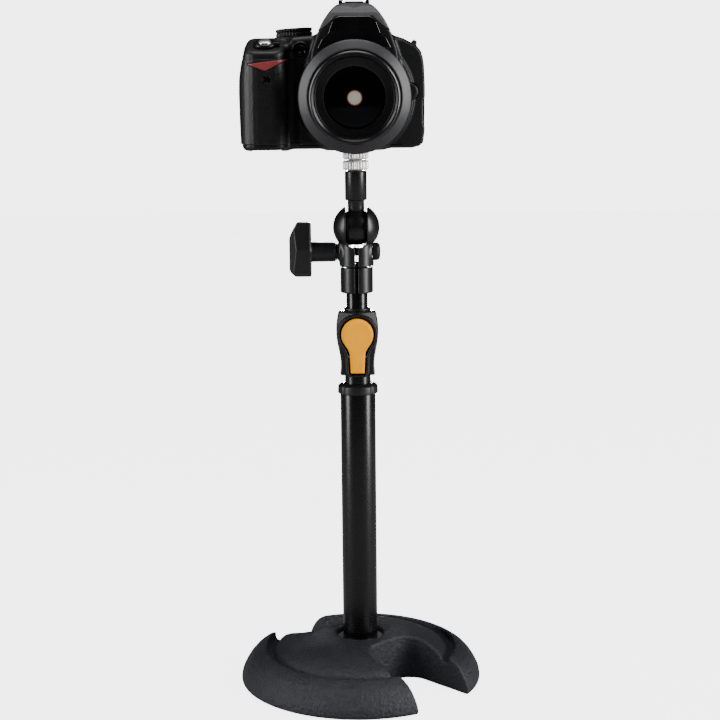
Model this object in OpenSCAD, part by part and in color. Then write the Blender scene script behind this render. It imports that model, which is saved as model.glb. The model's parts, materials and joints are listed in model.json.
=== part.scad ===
// Desk stand with a ball clamp, carrying an interchangeable-lens camera.
// Millimetres, +Z up, origin under the centre of the base. The lens looks along -Y.

/* [Base] */
// Radius of the cast base
base_r = 87; // [82:1:92]
// Height of the base at the pole
base_h = 34; // [31:1:36]
// Half width of each stacking notch
notch_half = 25; // [21:1:26]
// Direction of the front notch, in degrees from +X
notch_dir = -46; // [-60:1:-30]
// Thickness of the rubber sheet under the base
pad_t = 1.5; // [1:0.5:2]

/* [Pole and rod] */
// Outer radius of the pole
pole_r = 12.5; // [12:0.5:13]
// Height of the top of the pole tube
pole_top = 218.8; // [216:0.1:219]
// Outer radius of the sliding rod
rod_r = 7.5; // [7.3:0.1:7.6]
// Travel of the sliding rod
rod_lift = 90; // [40:5:90]

/* [Clutch] */
// Height of the underside of the clutch housing
clutch_z = 228; // [227.8:0.1:228.4]
// Angle that the trigger turns when it is pressed
trigger_turn = 4; // [3:0.5:4]

/* [Ball clamp] */
// Height of the centre of the ball
ball_z = 331; // [330:1:333]
// Radius of the ball
ball_r = 12.8; // [12:0.1:12.9]
// Outer radius of the two clamp cups
cup_r = 16; // [16:0.5:17]
// Width of the slot between the cups
slot_w = 15; // [14:0.2:15.2]
// Length of the T-shaped knob
knob_len = 37; // [32:1:40]

/* [Camera] */
// Height of the camera's base plate
cam_z = 386.3; // [386.2:0.1:386.4]
// Height of the lens axis above the base plate
lens_h = 36; // [35:0.5:36.5]
// Radius of the zoom ring
zoom_r = 36.5; // [36:0.1:37]
// Wall thickness of the camera's covers
wall = 2; // [1.6:0.2:2.2]

/* [Hidden] */
$fn = 48;

eps = 0.02;          // overlap that makes a cut go clean through
run = 0.06;          // radial clearance of a running fit
gap = 0.35;          // clearance between pieces that move past each other
far = 200;           // longer than any piece that is cut

// Base
boss_r = 26;         // distance from the pole to the flat end of a notch
notch_corner = 15;   // corner radius inside a notch
recess_r = 17.2;     // round recess that the pole stands in
recess_z = base_h - 4.5;
bolt_r = 3.95;       // pole bolt
bolt_head_h = 5.5;
bolt_pocket_r = 9.6;

// Pole and rod
pole_wall = 1.5;
pole_bore = pole_r - pole_wall;
plug_h = 18;
neck_r = 9.1;        // tube that carries the clutch
neck_bore = rod_r + run;
neck_z0 = 180;
neck_z1 = clutch_z + 10;
collar_r = 14.2;
collar_z0 = pole_top - 6;
bush_h = 14;
bush_z = neck_z0 - 2 - rod_lift - bush_h;
rod_z0 = bush_z - 2;
rod_top = ball_z - 25;

// Clutch: heights above the underside of its housing
clutch_h = 44.5;
waist_h = 7.6;       // narrowest place of the housing
belly_h = 31.6;      // widest place of the housing
clutch_front = -16.5;
clutch_back = 12.2;
pin_h = 13;          // trigger pivot
pin_y = -12.2;
pin_r = 1.25;
key_h = 29;          // centre of the trigger's round thumb pad
key_r = 11.2;
stem_half = 5.3;
stem_h0 = 1;
trigger_front = -17.8;
trigger_back = -13.2;
plate_z = clutch_z + 19.5;
plate_t = 2.4;
plate_hinge = [-9.7, plate_z + 1.2];
plate_tilt = 2 * trigger_turn;

// Ball clamp
screw_z = ball_z - 17.2;
clamp_z0 = ball_z - 46;
clamp_step_z = ball_z - 27.5;
clamp_low_r = 11.3;
clamp_mid_r = 12;
split_w = 3;
screw_r = 3;
knob_x0 = -47.3;
knob_x1 = -31.8;
hub_x1 = -14.4;
post_z0 = ball_z + 19;
post_z1 = ball_z + 39.5;
post_r = 7.5;
stub_r = 5;
ring_r = 9;
ring_z0 = post_z1 + 0.5;
ring_h = 6.8;
adapter_z0 = ring_z0 + ring_h + 0.7;
adapter_z1 = cam_z - 0.3;
thread_r = 3.05;     // quarter-inch camera screw

// Camera, in its own frame: origin on the base plate under the lens axis
face_y = -19;        // front face of the body
back_y = 25;         // rear face of the body
seam_y = -3;         // joint between front and rear covers
seam_z = 62;         // underside of the top cover
floor_z = 3;         // top of the bottom cover
edge = 4;            // bevel of the body's front and rear edges
mount_y = -33;       // lens mounting flange
plinth_r = 40.6;
throat_r = 22.4;
deck = [-60.5, -20, 70];      // centre of the shutter release
deck_tilt = 20;
dial_pos = [-41.4, 4, 76.4];
dial_tilt = -3.5;
release_pos = [37.5, 38.5];   // lens release, in x and z
lamp_pos = [-36.6, 66.9];
infrared_pos = [-59.3, 47.2];
selector_pos = [-52, 40];
lug_pos = [[-72, 70.3], [41, 71]];    // strap eyes
button_x = 42;
button_r = 3.2;
button_z = [51, 41, 31];
flash_y1 = -4;       // rear edge of the flash lid
lid_line = [[-24.8, 78.4], [-15, 85.8], [-11.5, 88.9]];   // lower edge of the flash lid, left half
zoom_y = [-84, -48.3];        // front and rear of the zoom ring
sleeve_r = 31;
inner_r = 28.8;
focus_y = [-112.5, -103];     // front and rear of the focus ring
focus_r = 29.3;
glass_r = 19.3;

function ramp(t) = (1 - cos(180 * t)) / 2;

// ---------------------------------------------------------------- stand

module notch_2d(grow = 0) {
    half = notch_half + grow;
    inner = notch_half - notch_corner;
    translate([boss_r + notch_corner, -half]) square([base_r, 2 * half]);
    translate([boss_r - grow, -inner]) square([notch_corner + grow + eps, 2 * inner]);
    for (s = [-1, 1])
        translate([boss_r + notch_corner, s * inner]) circle(r = notch_corner + grow);
}

module both_notches(grow = 0) {
    for (a = [0, 180])
        rotate(notch_dir + a) notch_2d(grow);
}

module base_casting() {
    dome_r = 62.5;
    groove_r = 69.7;
    color([0.13, 0.13, 0.14])
    difference() {
        rotate_extrude($fn = 128)
            polygon([[bolt_r + 0.3, pad_t], [base_r - 2, pad_t], [base_r - 0.2, pad_t + 0.8],
                [base_r, pad_t + 2.4], [base_r - 0.8, 7], [base_r - 2.6, 11.8],
                [base_r - 5.6, 16.8], [base_r - 9.6, 20.8], [groove_r + 2.6, 23.4],
                [groove_r, 24.3], [groove_r - 0.6, 20], [dome_r + 0.7, 19.6],
                [dome_r, 21.8], [dome_r - 1.2, 24], [dome_r - 3.8, 26.1],
                [dome_r - 9.5, 28.6], [dome_r - 16.5, 30.8], [dome_r - 24.5, 32.4],
                [28, base_h - 0.3], [recess_r, base_h], [recess_r, recess_z],
                [bolt_r + 0.3, recess_z]]);
        translate([0, 0, -1]) linear_extrude(base_h + 5) both_notches();
        translate([0, 0, pad_t - eps]) cylinder(r = bolt_pocket_r, h = bolt_head_h + 0.6);
    }
}

module base_pad() {
    color([0.05, 0.05, 0.05])
    linear_extrude(pad_t)
    difference() {
        circle(r = base_r - 4, $fn = 128);
        both_notches(3);
    }
}

module pole_bolt() {
    color([0.6, 0.6, 0.58])
    translate([0, 0, pad_t + 0.5]) {
        cylinder(r = 8, h = bolt_head_h, $fn = 6);
        cylinder(r = bolt_r, h = recess_z + 14 - pad_t);
    }
}

module ring(r_out, r_in, h) {
    difference() {
        cylinder(r = r_out, h = h);
        translate([0, 0, -eps]) cylinder(r = r_in, h = h + 2 * eps);
    }
}

module pole_washer() {
    color([0.62, 0.62, 0.6])
    translate([0, 0, recess_z + 0.05]) ring(recess_r - 0.4, pole_r + 0.1, 1.5);
}

module pole_tube() {
    color([0.06, 0.06, 0.065])
    translate([0, 0, recess_z + 0.05]) ring(pole_r, pole_bore, pole_top - recess_z - 0.05);
}

module pole_plug() {
    color([0.45, 0.45, 0.45])
    translate([0, 0, recess_z + 0.05]) ring(pole_bore - 0.05, bolt_r + 0.05, plug_h);
}

module pole_collar() {
    lip = 1.4;
    color([0.09, 0.09, 0.1])
    rotate_extrude($fn = 72)
        polygon([[pole_r + 0.05, collar_z0], [collar_r - 0.5, collar_z0],
            [collar_r, collar_z0 + 0.8], [collar_r - 0.1, pole_top - 2.4],
            [collar_r - 1, pole_top - 0.6], [collar_r - 3.4, pole_top + lip],
            [neck_r + 0.05, pole_top + lip], [neck_r + 0.05, neck_z0 + 12],
            [pole_bore - 0.05, neck_z0 + 12], [pole_bore - 0.05, pole_top + 0.05],
            [pole_r + 0.05, pole_top + 0.05]]);
}

module clutch_neck() {
    color([0.06, 0.06, 0.065])
    translate([0, 0, neck_z0]) ring(neck_r, neck_bore, neck_z1 - neck_z0);
}

// Half width of the clutch housing at height h above its underside.
function clutch_half(h) =
    h > belly_h ? 15 - 1.5 * pow((h - belly_h) / 12, 2) :
    h > waist_h ? 11.8 + 3.2 * ramp((h - waist_h) / (belly_h - waist_h)) :
    11.8 + 0.7 * pow((waist_h - h) / 8, 2);

// Half width of the trigger at height h above the underside of the housing.
function key_half(h) =
    h > key_h - 6 ? sqrt(max(0, pow(key_r, 2) - pow(h - key_h, 2))) :
    stem_half + 4.16 * pow(max(0, (h - key_h + 16) / 10), 1.5) - 0.05 * max(0, key_h - 16 - h);

module profile_2d(heights, half) {
    polygon(concat([for (i = [0:len(heights) - 1]) [half[i], heights[i]]],
        [for (i = [len(heights) - 1:-1:0]) [-half[i], heights[i]]]));
}

module clutch_outline() {
    steps = 22;
    h = [for (i = [0:steps]) clutch_h * i / steps];
    profile_2d(h, [for (v = h) clutch_half(v) - (v > clutch_h - 1.5 ? 1.6 : 0)]);
}

module key_outline(grow = 0) {
    steps = 12;
    h = concat([stem_h0 - grow], [for (i = [0:steps]) key_h - 17 + 11 * i / steps]);
    profile_2d(h, [for (v = h) key_half(v) + grow]);
    translate([0, key_h]) circle(r = key_r + grow);
}

// Extrudes a shape drawn in x and z from y0 back to y1.
module upright(y0, y1) {
    translate([0, y1, 0]) rotate([90, 0, 0]) linear_extrude(y1 - y0) children();
}

module clutch_plan() {
    hull() {
        circle(r = clutch_back, $fn = 40);
        for (s = [-1, 1])
            translate([s * 10.5, clutch_front + 4.5]) circle(r = 4.5, $fn = 32);
    }
}

// A plate outline with a square front edge at y0 and a round back.
module round_backed(half, y0, r) {
    translate([-half, y0]) square([2 * half, -y0]);
    intersection() {
        circle(r = r);
        translate([-half, -eps]) square([2 * half, 20]);
    }
}

module clutch_housing() {
    cavity_half = 9.5;
    color([0.1, 0.1, 0.11])
    difference() {
        union() {
            intersection() {
                translate([0, 0, clutch_z]) upright(-20, 20) clutch_outline();
                translate([0, 0, clutch_z - 1]) linear_extrude(clutch_h + 2) clutch_plan();
            }
            translate([0, 0, clutch_z - 1.8]) cylinder(r = neck_r + 0.9, h = 3);
        }
        translate([0, 0, clutch_z]) upright(-20, -10.4) key_outline(1.3);
        translate([0, 0, clutch_z - 5]) cylinder(r = neck_r + 0.03, h = neck_z1 - clutch_z + 5);
        translate([0, 0, clutch_z]) cylinder(r = rod_r + 0.4, h = clutch_h + 5);
        translate([0, 0, clutch_z + clutch_h - 6.5]) cylinder(r = neck_r - 0.2, h = 10);
        translate([0, 0, plate_z - 3]) linear_extrude(16)
            round_backed(cavity_half, -11.6, 10.9);
        translate([-stem_half, -19, clutch_z + pin_h - 4]) cube([2 * stem_half, 10, 8]);
        translate([-far / 2, pin_y, clutch_z + pin_h]) rotate([0, 90, 0])
            cylinder(r = pin_r + 0.02, h = far);
    }
}

module clutch_bushing() {
    top = clutch_z + clutch_h;
    color([0.08, 0.08, 0.085]) {
        translate([0, 0, top - 6.4]) ring(neck_r - 0.25, rod_r + run, 6.5);
        translate([0, 0, top + 0.1 - eps]) ring(neck_r + 0.2, rod_r + run, 1.5);
    }
}

module trigger_pin() {
    color([0.6, 0.6, 0.6])
    translate([-11, pin_y, clutch_z + pin_h]) rotate([0, 90, 0]) cylinder(r = pin_r, h = 22);
}

module clutch_trigger() {
    lug_half = stem_half - gap - 0.4;
    color([0.86, 0.58, 0.13])
    difference() {
        union() {
            translate([0, 0, clutch_z]) upright(trigger_front, trigger_back) key_outline();
            translate([-lug_half, pin_y, clutch_z + pin_h]) rotate([0, 90, 0])
                cylinder(r = 2.5, h = 2 * lug_half);
            translate([-3, trigger_back - eps, plate_z + 8]) cube([6, 0.8 + eps, 3]);
        }
        translate([-far / 2, pin_y, clutch_z + pin_h]) rotate([0, 90, 0])
            cylinder(r = pin_r + run, h = far);
    }
}

module lock_plate() {
    half = 9;
    color([0.55, 0.55, 0.56])
    translate([0, plate_hinge[0], plate_hinge[1]]) rotate([plate_tilt, 0, 0])
    difference() {
        translate([0, 0, -plate_t / 2]) {
            translate([0, -plate_hinge[0], 0]) linear_extrude(plate_t)
                round_backed(half, plate_hinge[0] - 1.2, 10);
            translate([-5, -1.2, 0]) cube([10, 1.4, 11]);
        }
        translate([0, -plate_hinge[0], -5]) cylinder(r = rod_r + 0.5, h = 12);
    }
}

module lift_rod() {
    tube_wall = 1.3;
    color([0.06, 0.06, 0.065])
    difference() {
        translate([0, 0, rod_z0]) cylinder(r = rod_r, h = rod_top - rod_z0);
        translate([0, 0, rod_z0 - 1]) cylinder(r = rod_r - tube_wall, h = rod_top - rod_z0 - 2);
    }
}

module rod_bushing() {
    color([0.8, 0.8, 0.78])
    translate([0, 0, bush_z]) ring(pole_bore - run, rod_r + 0.02, bush_h);
}

// ---------------------------------------------------------------- ball clamp

module along_x(x0, x1, r) {
    translate([x0, 0, screw_z]) rotate([0, 90, 0]) cylinder(r = r, h = x1 - x0);
}

module clamp_body() {
    difference() {
        union() {
            translate([0, 0, ball_z]) sphere(r = cup_r, $fn = 64);
            translate([0, 0, clamp_step_z + 1.4]) cylinder(r = clamp_mid_r, h = 14);
            translate([0, 0, clamp_step_z])
                cylinder(r1 = clamp_low_r - 0.5, r2 = clamp_mid_r, h = 1.4 + eps);
            translate([0, 0, clamp_z0 + 1])
                cylinder(r = clamp_low_r, h = clamp_step_z - clamp_z0 - 1 + eps);
            translate([0, 0, clamp_z0])
                cylinder(r1 = clamp_low_r - 1, r2 = clamp_low_r, h = 1 + eps);
            along_x(-13.2, 13.6, 6.9);
        }
        translate([0, 0, ball_z]) sphere(r = ball_r + 0.3, $fn = 64);
        translate([-slot_w / 2, -25, ball_z - 6.8]) cube([slot_w, 50, 40]);
        translate([0, -25, ball_z - 6.8]) rotate([-90, 0, 0])
            cylinder(r = slot_w / 2, h = 50);
        translate([-split_w / 2, -25, clamp_z0 - 1]) cube([split_w, 50, 44]);
        translate([0, 0, clamp_z0 - 1]) cylinder(r = rod_r + run, h = rod_top - clamp_z0 + 1.6);
        along_x(-30, 30, screw_r + 0.2);
        along_x(11, 30, 6.5);
    }
}

module clamp_half(side) {
    color([0.07, 0.07, 0.075])
    intersection() {
        clamp_body();
        translate([side < 0 ? -40 : 0, -40, clamp_z0 - 5]) cube([40, 80, 80]);
    }
}

module clamp_shell_left() { clamp_half(-1); }

module clamp_shell_right() { clamp_half(1); }

module clamp_nut() {
    color([0.09, 0.09, 0.095])
    difference() {
        union() {
            along_x(11.1, 14.6, 6.3);
            translate([14.6 - eps, 0, screw_z]) rotate([0, 90, 0])
                cylinder(r1 = 6.3, r2 = 4.2, h = 2.2);
        }
        along_x(10, 14, screw_r + run);
    }
}

module clamp_screw() {
    color([0.12, 0.12, 0.13]) {
        along_x(-34, 13.4, screw_r);
        along_x(hub_x1 + 0.1, -13.4, 5.4);
    }
}

module clamp_knob() {
    up = knob_len / 2 + 1.5;
    down = up - knob_len;
    depth = 7.6;
    color([0.07, 0.07, 0.075])
    difference() {
        union() {
            translate([knob_x1 - eps, 0, screw_z]) rotate([0, 90, 0])
                cylinder(r1 = 7.05, r2 = 6.8, h = hub_x1 - knob_x1);
            translate([0, 0, screw_z]) upright(-depth, depth)
                polygon([[knob_x1, down + 1], [knob_x1 - 0.8, down], [knob_x1 - 9.6, down],
                    [knob_x0 + 0.6, down + 4.6], [knob_x0, down + 7], [knob_x0, up - 10],
                    [knob_x0 + 0.8, up - 8], [knob_x0 + 4.4, up - 1], [knob_x0 + 5.6, up],
                    [knob_x1 - 0.8, up], [knob_x1, up - 1]]);
        }
        along_x(-34.1, 0, screw_r + 0.03);
    }
}

module ball_stud() {
    chamfer = 0.8;
    color([0.05, 0.05, 0.055]) {
        difference() {
            union() {
                translate([0, 0, ball_z]) sphere(r = ball_r, $fn = 64);
                translate([0, 0, ball_z]) cylinder(r = 5.8, h = post_z0 - ball_z + 1);
            }
            translate([0, 0, ball_z - ball_r - 1]) cylinder(r = 4, h = 1.6);
        }
        rotate_extrude()
            polygon([[0, post_z0], [post_r - chamfer, post_z0], [post_r, post_z0 + chamfer],
                [post_r, post_z1 - chamfer], [post_r - chamfer, post_z1], [stub_r, post_z1],
                [stub_r, adapter_z0 + 4], [0, adapter_z0 + 4]]);
    }
}

// A disc with a coarse wavy rim, as fingers grip it.
module grip_disc(r, depth, lobes, h) {
    steps = lobes * 6;
    linear_extrude(h)
        polygon([for (i = [0:steps - 1])
            (r - depth * (0.5 - 0.5 * cos(360 * lobes * i / steps)))
                * [cos(360 * i / steps), sin(360 * i / steps)]]);
}

module knurled(z0, h, bore_h) {
    difference() {
        union() {
            translate([0, 0, z0 + 0.7]) grip_disc(ring_r, 0.45, 20, h - 1.4);
            translate([0, 0, z0]) cylinder(r1 = ring_r - 1.1, r2 = ring_r - 0.5, h = 0.7 + eps);
            translate([0, 0, z0 + h - 0.7 - eps])
                cylinder(r1 = ring_r - 0.5, r2 = ring_r - 1.1, h = 0.7 + eps);
        }
        translate([0, 0, z0 - 1]) cylinder(r = stub_r + run, h = bore_h + 1);
    }
}

module lock_ring() {
    color([0.8, 0.77, 0.74]) knurled(ring_z0, ring_h, ring_h + 2);
}

module screw_adapter() {
    color([0.8, 0.77, 0.74]) {
        knurled(adapter_z0, adapter_z1 - adapter_z0, 4.3);
        translate([0, 0, adapter_z1 - eps]) cylinder(r = thread_r, h = 5);
    }
}

// ---------------------------------------------------------------- camera body

module in_camera() {
    translate([0, 0, cam_z]) children();
}

// The body seen from the front, in x and z.
module body_outline() {
    hull() {
        translate([-67.6, 8.5]) circle(r = 8.5, $fn = 32);
        translate([40.6, 6.5]) circle(r = 6.5, $fn = 32);
        translate([-68.6, 35]) circle(r = 8.5, $fn = 32);
        translate([40, 35]) circle(r = 8.2, $fn = 32);
        translate([-66.6, 61.5]) circle(r = 10.3, $fn = 32);
        translate([35.3, 61.5]) circle(r = 11.2, $fn = 32);
        translate([-26, 72.5]) circle(r = 4, $fn = 32);
        translate([22, 72.5]) circle(r = 4, $fn = 32);
    }
}

module slab(y0, y1, inset) {
    upright(y0, y1) offset(delta = -inset) body_outline();
}

module body_block(inset = 0) {
    hull() {
        slab(face_y + edge, back_y - edge, inset);
        slab(face_y + inset, back_y - inset, inset + edge);
    }
}

module grip_core(inset = 0) {
    linear_extrude(72 - inset)
    hull() {
        translate([-65.1, -21.5]) circle(r = 12.2 - inset, $fn = 32);
        translate([-55.9, -24]) circle(r = 9.8 - inset, $fn = 32);
        translate([-67.3, -12]) circle(r = 10 - inset, $fn = 32);
        translate([-56.1, -12]) circle(r = 10 - inset, $fn = 32);
    }
}

module hump(inset = 0) {
    base = [29 - inset, -30 + inset, 24 - inset];
    waist = [25.5 - inset, -34 + inset, 24 - inset];
    brow = [20 - inset, -33 + inset, 22 - inset];
    crown = [13 - inset, -25 + inset, 19 - inset];
    hull() {
        for (v = [[base, 66], [waist, 78], [brow, 90.5 - inset], [crown, 97.5 - inset]])
            translate([-v[0][0], v[0][1], v[1]]) cube([2 * v[0][0], v[0][2] - v[0][1], 0.5]);
    }
}

module space(x, y, z) {
    translate([x[0], y[0], z[0]]) cube([x[1] - x[0], y[1] - y[0], z[1] - z[0]]);
}

// Everything above the lower edge of the flash lid, moved down by drop.
module above_lid_line(y1, drop = 0) {
    upright(-60, y1) translate([0, -drop])
        polygon(concat([[-45, 120], [-45, lid_line[0][1]]], lid_line,
            [for (i = [2:-1:0]) [-lid_line[i][0], lid_line[i][1]]],
            [[45, lid_line[0][1]], [45, 120]]));
}

module on_deck() {
    translate(deck) rotate([deck_tilt, 0, 0]) children();
}

module on_lens_axis(y0, y1, r1, r2) {
    translate([0, y1, lens_h]) rotate([90, 0, 0]) cylinder(r1 = r2, r2 = r1, h = y1 - y0, $fn = 96);
}

module lens_profile(points) {
    translate([0, 0, lens_h]) rotate([90, 0, 0]) rotate_extrude($fn = 96)
        polygon([for (p = points) [p[0], -p[1]]]);
}

module at_face(pos, y0, y1, r) {
    translate([pos[0], y1, pos[1]]) rotate([90, 0, 0]) cylinder(r = r, h = y1 - y0);
}

module mount_boss() {
    on_lens_axis(-22.5, face_y + 6, plinth_r - 0.8, plinth_r);
    on_lens_axis(-31.5, -22, 33, 37);
}

module front_cover() {
    color([0.09, 0.09, 0.095]) in_camera()
    difference() {
        union() {
            intersection() {
                body_block();
                space([-90, 60], [-60, seam_y], [floor_z, seam_z]);
            }
            intersection() {
                grip_core();
                space([-90, -40], [-60, face_y + 8], [floor_z, seam_z]);
            }
            intersection() {
                mount_boss();
                space([-60, 60], [-60, 0], [floor_z, seam_z]);
            }
        }
        body_block(wall);
        intersection() {
            grip_core(wall);
            space([-90, -47], [-60, 0], [floor_z - 1, seam_z + 1]);
        }
        on_lens_axis(-40, 0, throat_r + 0.2, throat_r + 0.2);
        at_face(release_pos, -40, 0, 7.1);
    }
}

module rear_cover() {
    color([0.09, 0.09, 0.095]) in_camera()
    difference() {
        intersection() {
            body_block();
            space([-90, 60], [seam_y + 0.1, 40], [floor_z, seam_z]);
        }
        body_block(wall);
        space([-30, 37], [back_y - 1.2, 40], [6, 57]);
        for (z = button_z)
            at_face([button_x, z], 0, 40, button_r + 0.2);
        at_face(selector_pos, 0, 40, 10.3);
        space([40, 60], [-2.5, 15.5], [10.5, 53.5]);
        translate([-60, 17.5, seam_z - 2]) cylinder(r = 9.4, h = 30);
    }
}

module top_cover() {
    color([0.09, 0.09, 0.095]) in_camera()
    difference() {
        union() {
            intersection() {
                body_block();
                space([-90, 60], [-60, 60], [seam_z + 0.1, 90]);
            }
            intersection() {
                grip_core();
                space([-90, -40], [-60, 0], [seam_z + 0.1, 90]);
            }
            intersection() {
                hump();
                space([-60, 60], [-60, 60], [seam_z + 8, 110]);
            }
            intersection() {
                mount_boss();
                space([-60, 60], [-60, 0], [seam_z + 0.1, 90]);
            }
        }
        intersection() {
            body_block(wall);
            space([-90, 60], [-60, 60], [0, 70.3]);
        }
        difference() {
            hump(wall);
            above_lid_line(flash_y1 + 2.4, 2.4);
            space([-60, 60], [-60, -22], [0, 76]);
        }
        above_lid_line(flash_y1 + gap, gap);
        on_deck() translate([-25, -30, 0]) cube([41, 45, 20]);
        on_deck() translate([0, 0, -7]) cylinder(r = 4.9, h = 20, $fn = 40);
        translate(dial_pos) rotate([0, dial_tilt, 0]) translate([0, 0, -12]) cylinder(r = 4.1, h = 20);
        at_face(lamp_pos, -40, -10, 4.5);
        translate([-60, 17.5, seam_z - 2]) cylinder(r = 9.4, h = 4.6);
        space([-14, 14], [15, 40], [77, 90]);
        for (pos = lug_pos)
            translate([pos[0], 2, pos[1]]) space([-1, 1], [-4.2, 4.2], [-1.2, 5]);
    }
}

module bottom_cover() {
    color([0.09, 0.09, 0.095]) in_camera()
    difference() {
        intersection() {
            union() {
                body_block();
                grip_core();
                mount_boss();
            }
            space([-90, 60], [-60, 60], [0, floor_z - 0.1]);
        }
        translate([0, 0, -1]) cylinder(r = 6.1, h = 10);
        space([-70.8, -50.7], [-27.3, 1.3], [-1, 10]);
    }
}

module tripod_socket() {
    color([0.6, 0.6, 0.58]) in_camera()
    translate([0, 0, 0.1]) ring(6, thread_r + run, 7);
}

module grip_sleeve(from_inset, to_inset, z) {
    intersection() {
        difference() {
            grip_core(to_inset);
            grip_core(from_inset);
        }
        space([-90, -47], [-60, face_y + 9.5], z);
    }
}

module accent_2d(grow = 0) {
    offset(delta = grow)
        polygon([[-70.4, 57.9], [-60.5, 54], [-58, 54], [-47.4, 60.2]]);
}

module grip_skin() {
    color([0.06, 0.06, 0.065]) in_camera()
    difference() {
        grip_sleeve(0, -1.2, [4, 61]);
        body_block();
        upright(-60, -20) accent_2d(0.2);
        at_face(infrared_pos, -60, -20, 2.8);
    }
}

module grip_accent() {
    color([0.5, 0.08, 0.09]) in_camera()
    intersection() {
        grip_sleeve(0, -1.5, [50, 62]);
        upright(-60, -25) accent_2d();
    }
}

module front_windows() {
    color([0.03, 0.03, 0.03]) in_camera() {
        intersection() {
            grip_sleeve(0, -0.9, [40, 55]);
            at_face(infrared_pos, -60, -20, 2.6);
        }
        at_face(lamp_pos, face_y - 1.2, face_y + 3, 4.3);
    }
}

module hood_badge() {
    color([0.02, 0.02, 0.02]) in_camera()
    intersection() {
        difference() {
            hump(-0.9);
            hump();
        }
        upright(-60, -20)
            polygon([[-25, 69], [25, 69], [18.6, 79], [14.3, 85.2], [11, 88.3],
                [-11, 88.3], [-14.3, 85.2], [-18.6, 79]]);
    }
}

module flash_head() {
    color([0.14, 0.14, 0.145]) in_camera()
    difference() {
        intersection() {
            hump();
            above_lid_line(flash_y1);
        }
        intersection() {
            hump(2);
            space([-60, 60], [-60, flash_y1 - 5], [0, 120]);
        }
    }
}

module hot_shoe() {
    color([0.35, 0.35, 0.36]) in_camera()
    translate([0, 1, 98.05]) {
        space([-10.5, 10.5], [0, 17], [0, 0.9]);
        for (s = [-1, 1]) {
            space([s * 9.85 - 0.65, s * 9.85 + 0.65], [0, 17], [0.8, 2.7]);
            space([s * 8.9 - 1.6, s * 8.9 + 1.6], [0, 17], [2, 2.7]);
        }
    }
}

module shutter_button() {
    color([0.72, 0.71, 0.74]) in_camera() on_deck() translate([0, 0, -5])
        cylinder(r = 4.7, h = 9);
}

module power_switch() {
    color([0.07, 0.07, 0.07]) in_camera() on_deck() translate([0, 0, gap])
    difference() {
        union() {
            cylinder(r = 8, h = 2.4);
            translate([0, -2, 0]) cube([9.8, 4, 2.4]);
        }
        translate([0, 0, -1]) cylinder(r = 4.95, h = 5);
    }
}

module mode_dial() {
    color([0.07, 0.07, 0.07]) in_camera()
    translate(dial_pos) rotate([0, dial_tilt, 0]) {
        translate([0, 0, 0.5]) grip_disc(12.3, 0.5, 32, 2.4);
        translate([0, 0, 2.7]) cylinder(r = 11.3, h = 1);
        translate([0, 0, 3.3]) grip_disc(12.3, 0.5, 32, 2.2);
        translate([0, 0, -7]) cylinder(r = 4, h = 8);
    }
}

module command_dial() {
    color([0.07, 0.07, 0.07]) in_camera()
    translate([-60, 17.5, seam_z - 1.6]) grip_disc(9, 0.5, 26, 3.6);
}

module strap_lugs() {
    color([0.5, 0.5, 0.5]) in_camera() {
        for (pos = lug_pos)
            translate([pos[0], 2, pos[1]]) {
                difference() {
                    space([-0.8, 0.8], [-4, 4], [-1, 3.4]);
                    translate([-2, 0, 1]) rotate([0, 90, 0]) cylinder(r = 1.2, h = 4);
                }
            }
    }
}

module body_mount() {
    color([0.62, 0.62, 0.62]) in_camera()
    difference() {
        on_lens_axis(mount_y + 0.1, -31.5 - 0.05, 28.5, 28.5);
        on_lens_axis(mount_y - 1, -20, throat_r, throat_r);
    }
}

module lens_release() {
    color([0.08, 0.08, 0.085]) in_camera()
    at_face(release_pos, -27.5, -14, 6.8);
}

module port_cover() {
    color([0.06, 0.06, 0.065]) in_camera()
    intersection() {
        difference() {
            body_block();
            body_block(1.8);
        }
        space([43, 60], [-2, 15], [11, 53]);
    }
}

module monitor_window() {
    color([0.02, 0.02, 0.025]) in_camera()
    space([-29.5, 36.5], [back_y - 1.1, back_y + 1.4], [6.5, 56.5]);
}

module eyecup() {
    color([0.05, 0.05, 0.05]) in_camera()
    difference() {
        hull() {
            for (x = [-14, 14], z = [78.5, 88.5])
                translate([x, back_y + 5, z]) rotate([90, 0, 0]) cylinder(r = 3.5, h = 5.9, $fn = 24);
        }
        space([-11, 11], [0, 60], [78.5, 88.5]);
    }
}

module rear_button(i) {
    color([0.1, 0.1, 0.1]) in_camera()
    at_face([button_x, button_z[i]], back_y - 4.5, back_y + 1, button_r);
}

module button_play() { rear_button(0); }

module button_menu() { rear_button(1); }

module button_zoom() { rear_button(2); }

module multi_selector() {
    color([0.08, 0.08, 0.08]) in_camera()
    difference() {
        at_face(selector_pos, back_y - 3.5, back_y + 1.6, 9.8);
        at_face(selector_pos, 0, 60, 4.6);
    }
}

module ok_button() {
    color([0.12, 0.12, 0.12]) in_camera()
    at_face(selector_pos, back_y - 3.5, back_y + 1.8, 4);
}

module battery() {
    color([0.16, 0.16, 0.17]) in_camera()
    space([-70, -52], [-27, -13], [3.2, 57]);
}

module battery_door() {
    color([0.08, 0.08, 0.08]) in_camera()
    space([-70.5, -51], [-27, 1], [0.1, 2.4]);
}

module mirror_box() {
    color([0.05, 0.05, 0.05]) in_camera()
    difference() {
        space([-19, 19], [-16.8, 12], [18, 50]);
        space([-17.2, 17.2], [-18, 20], [20, 51]);
    }
}

module reflex_mirror() {
    color([0.8, 0.82, 0.84]) in_camera()
    translate([0, 8, 48.5]) rotate([45, 0, 0])
        space([-14, 14], [-27, 0.6], [-0.7, 0.7]);
}

module image_sensor() {
    color([0.15, 0.3, 0.25]) in_camera()
    space([-18, 18], [12.3, 16], [20.5, 48.5]);
}

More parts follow.
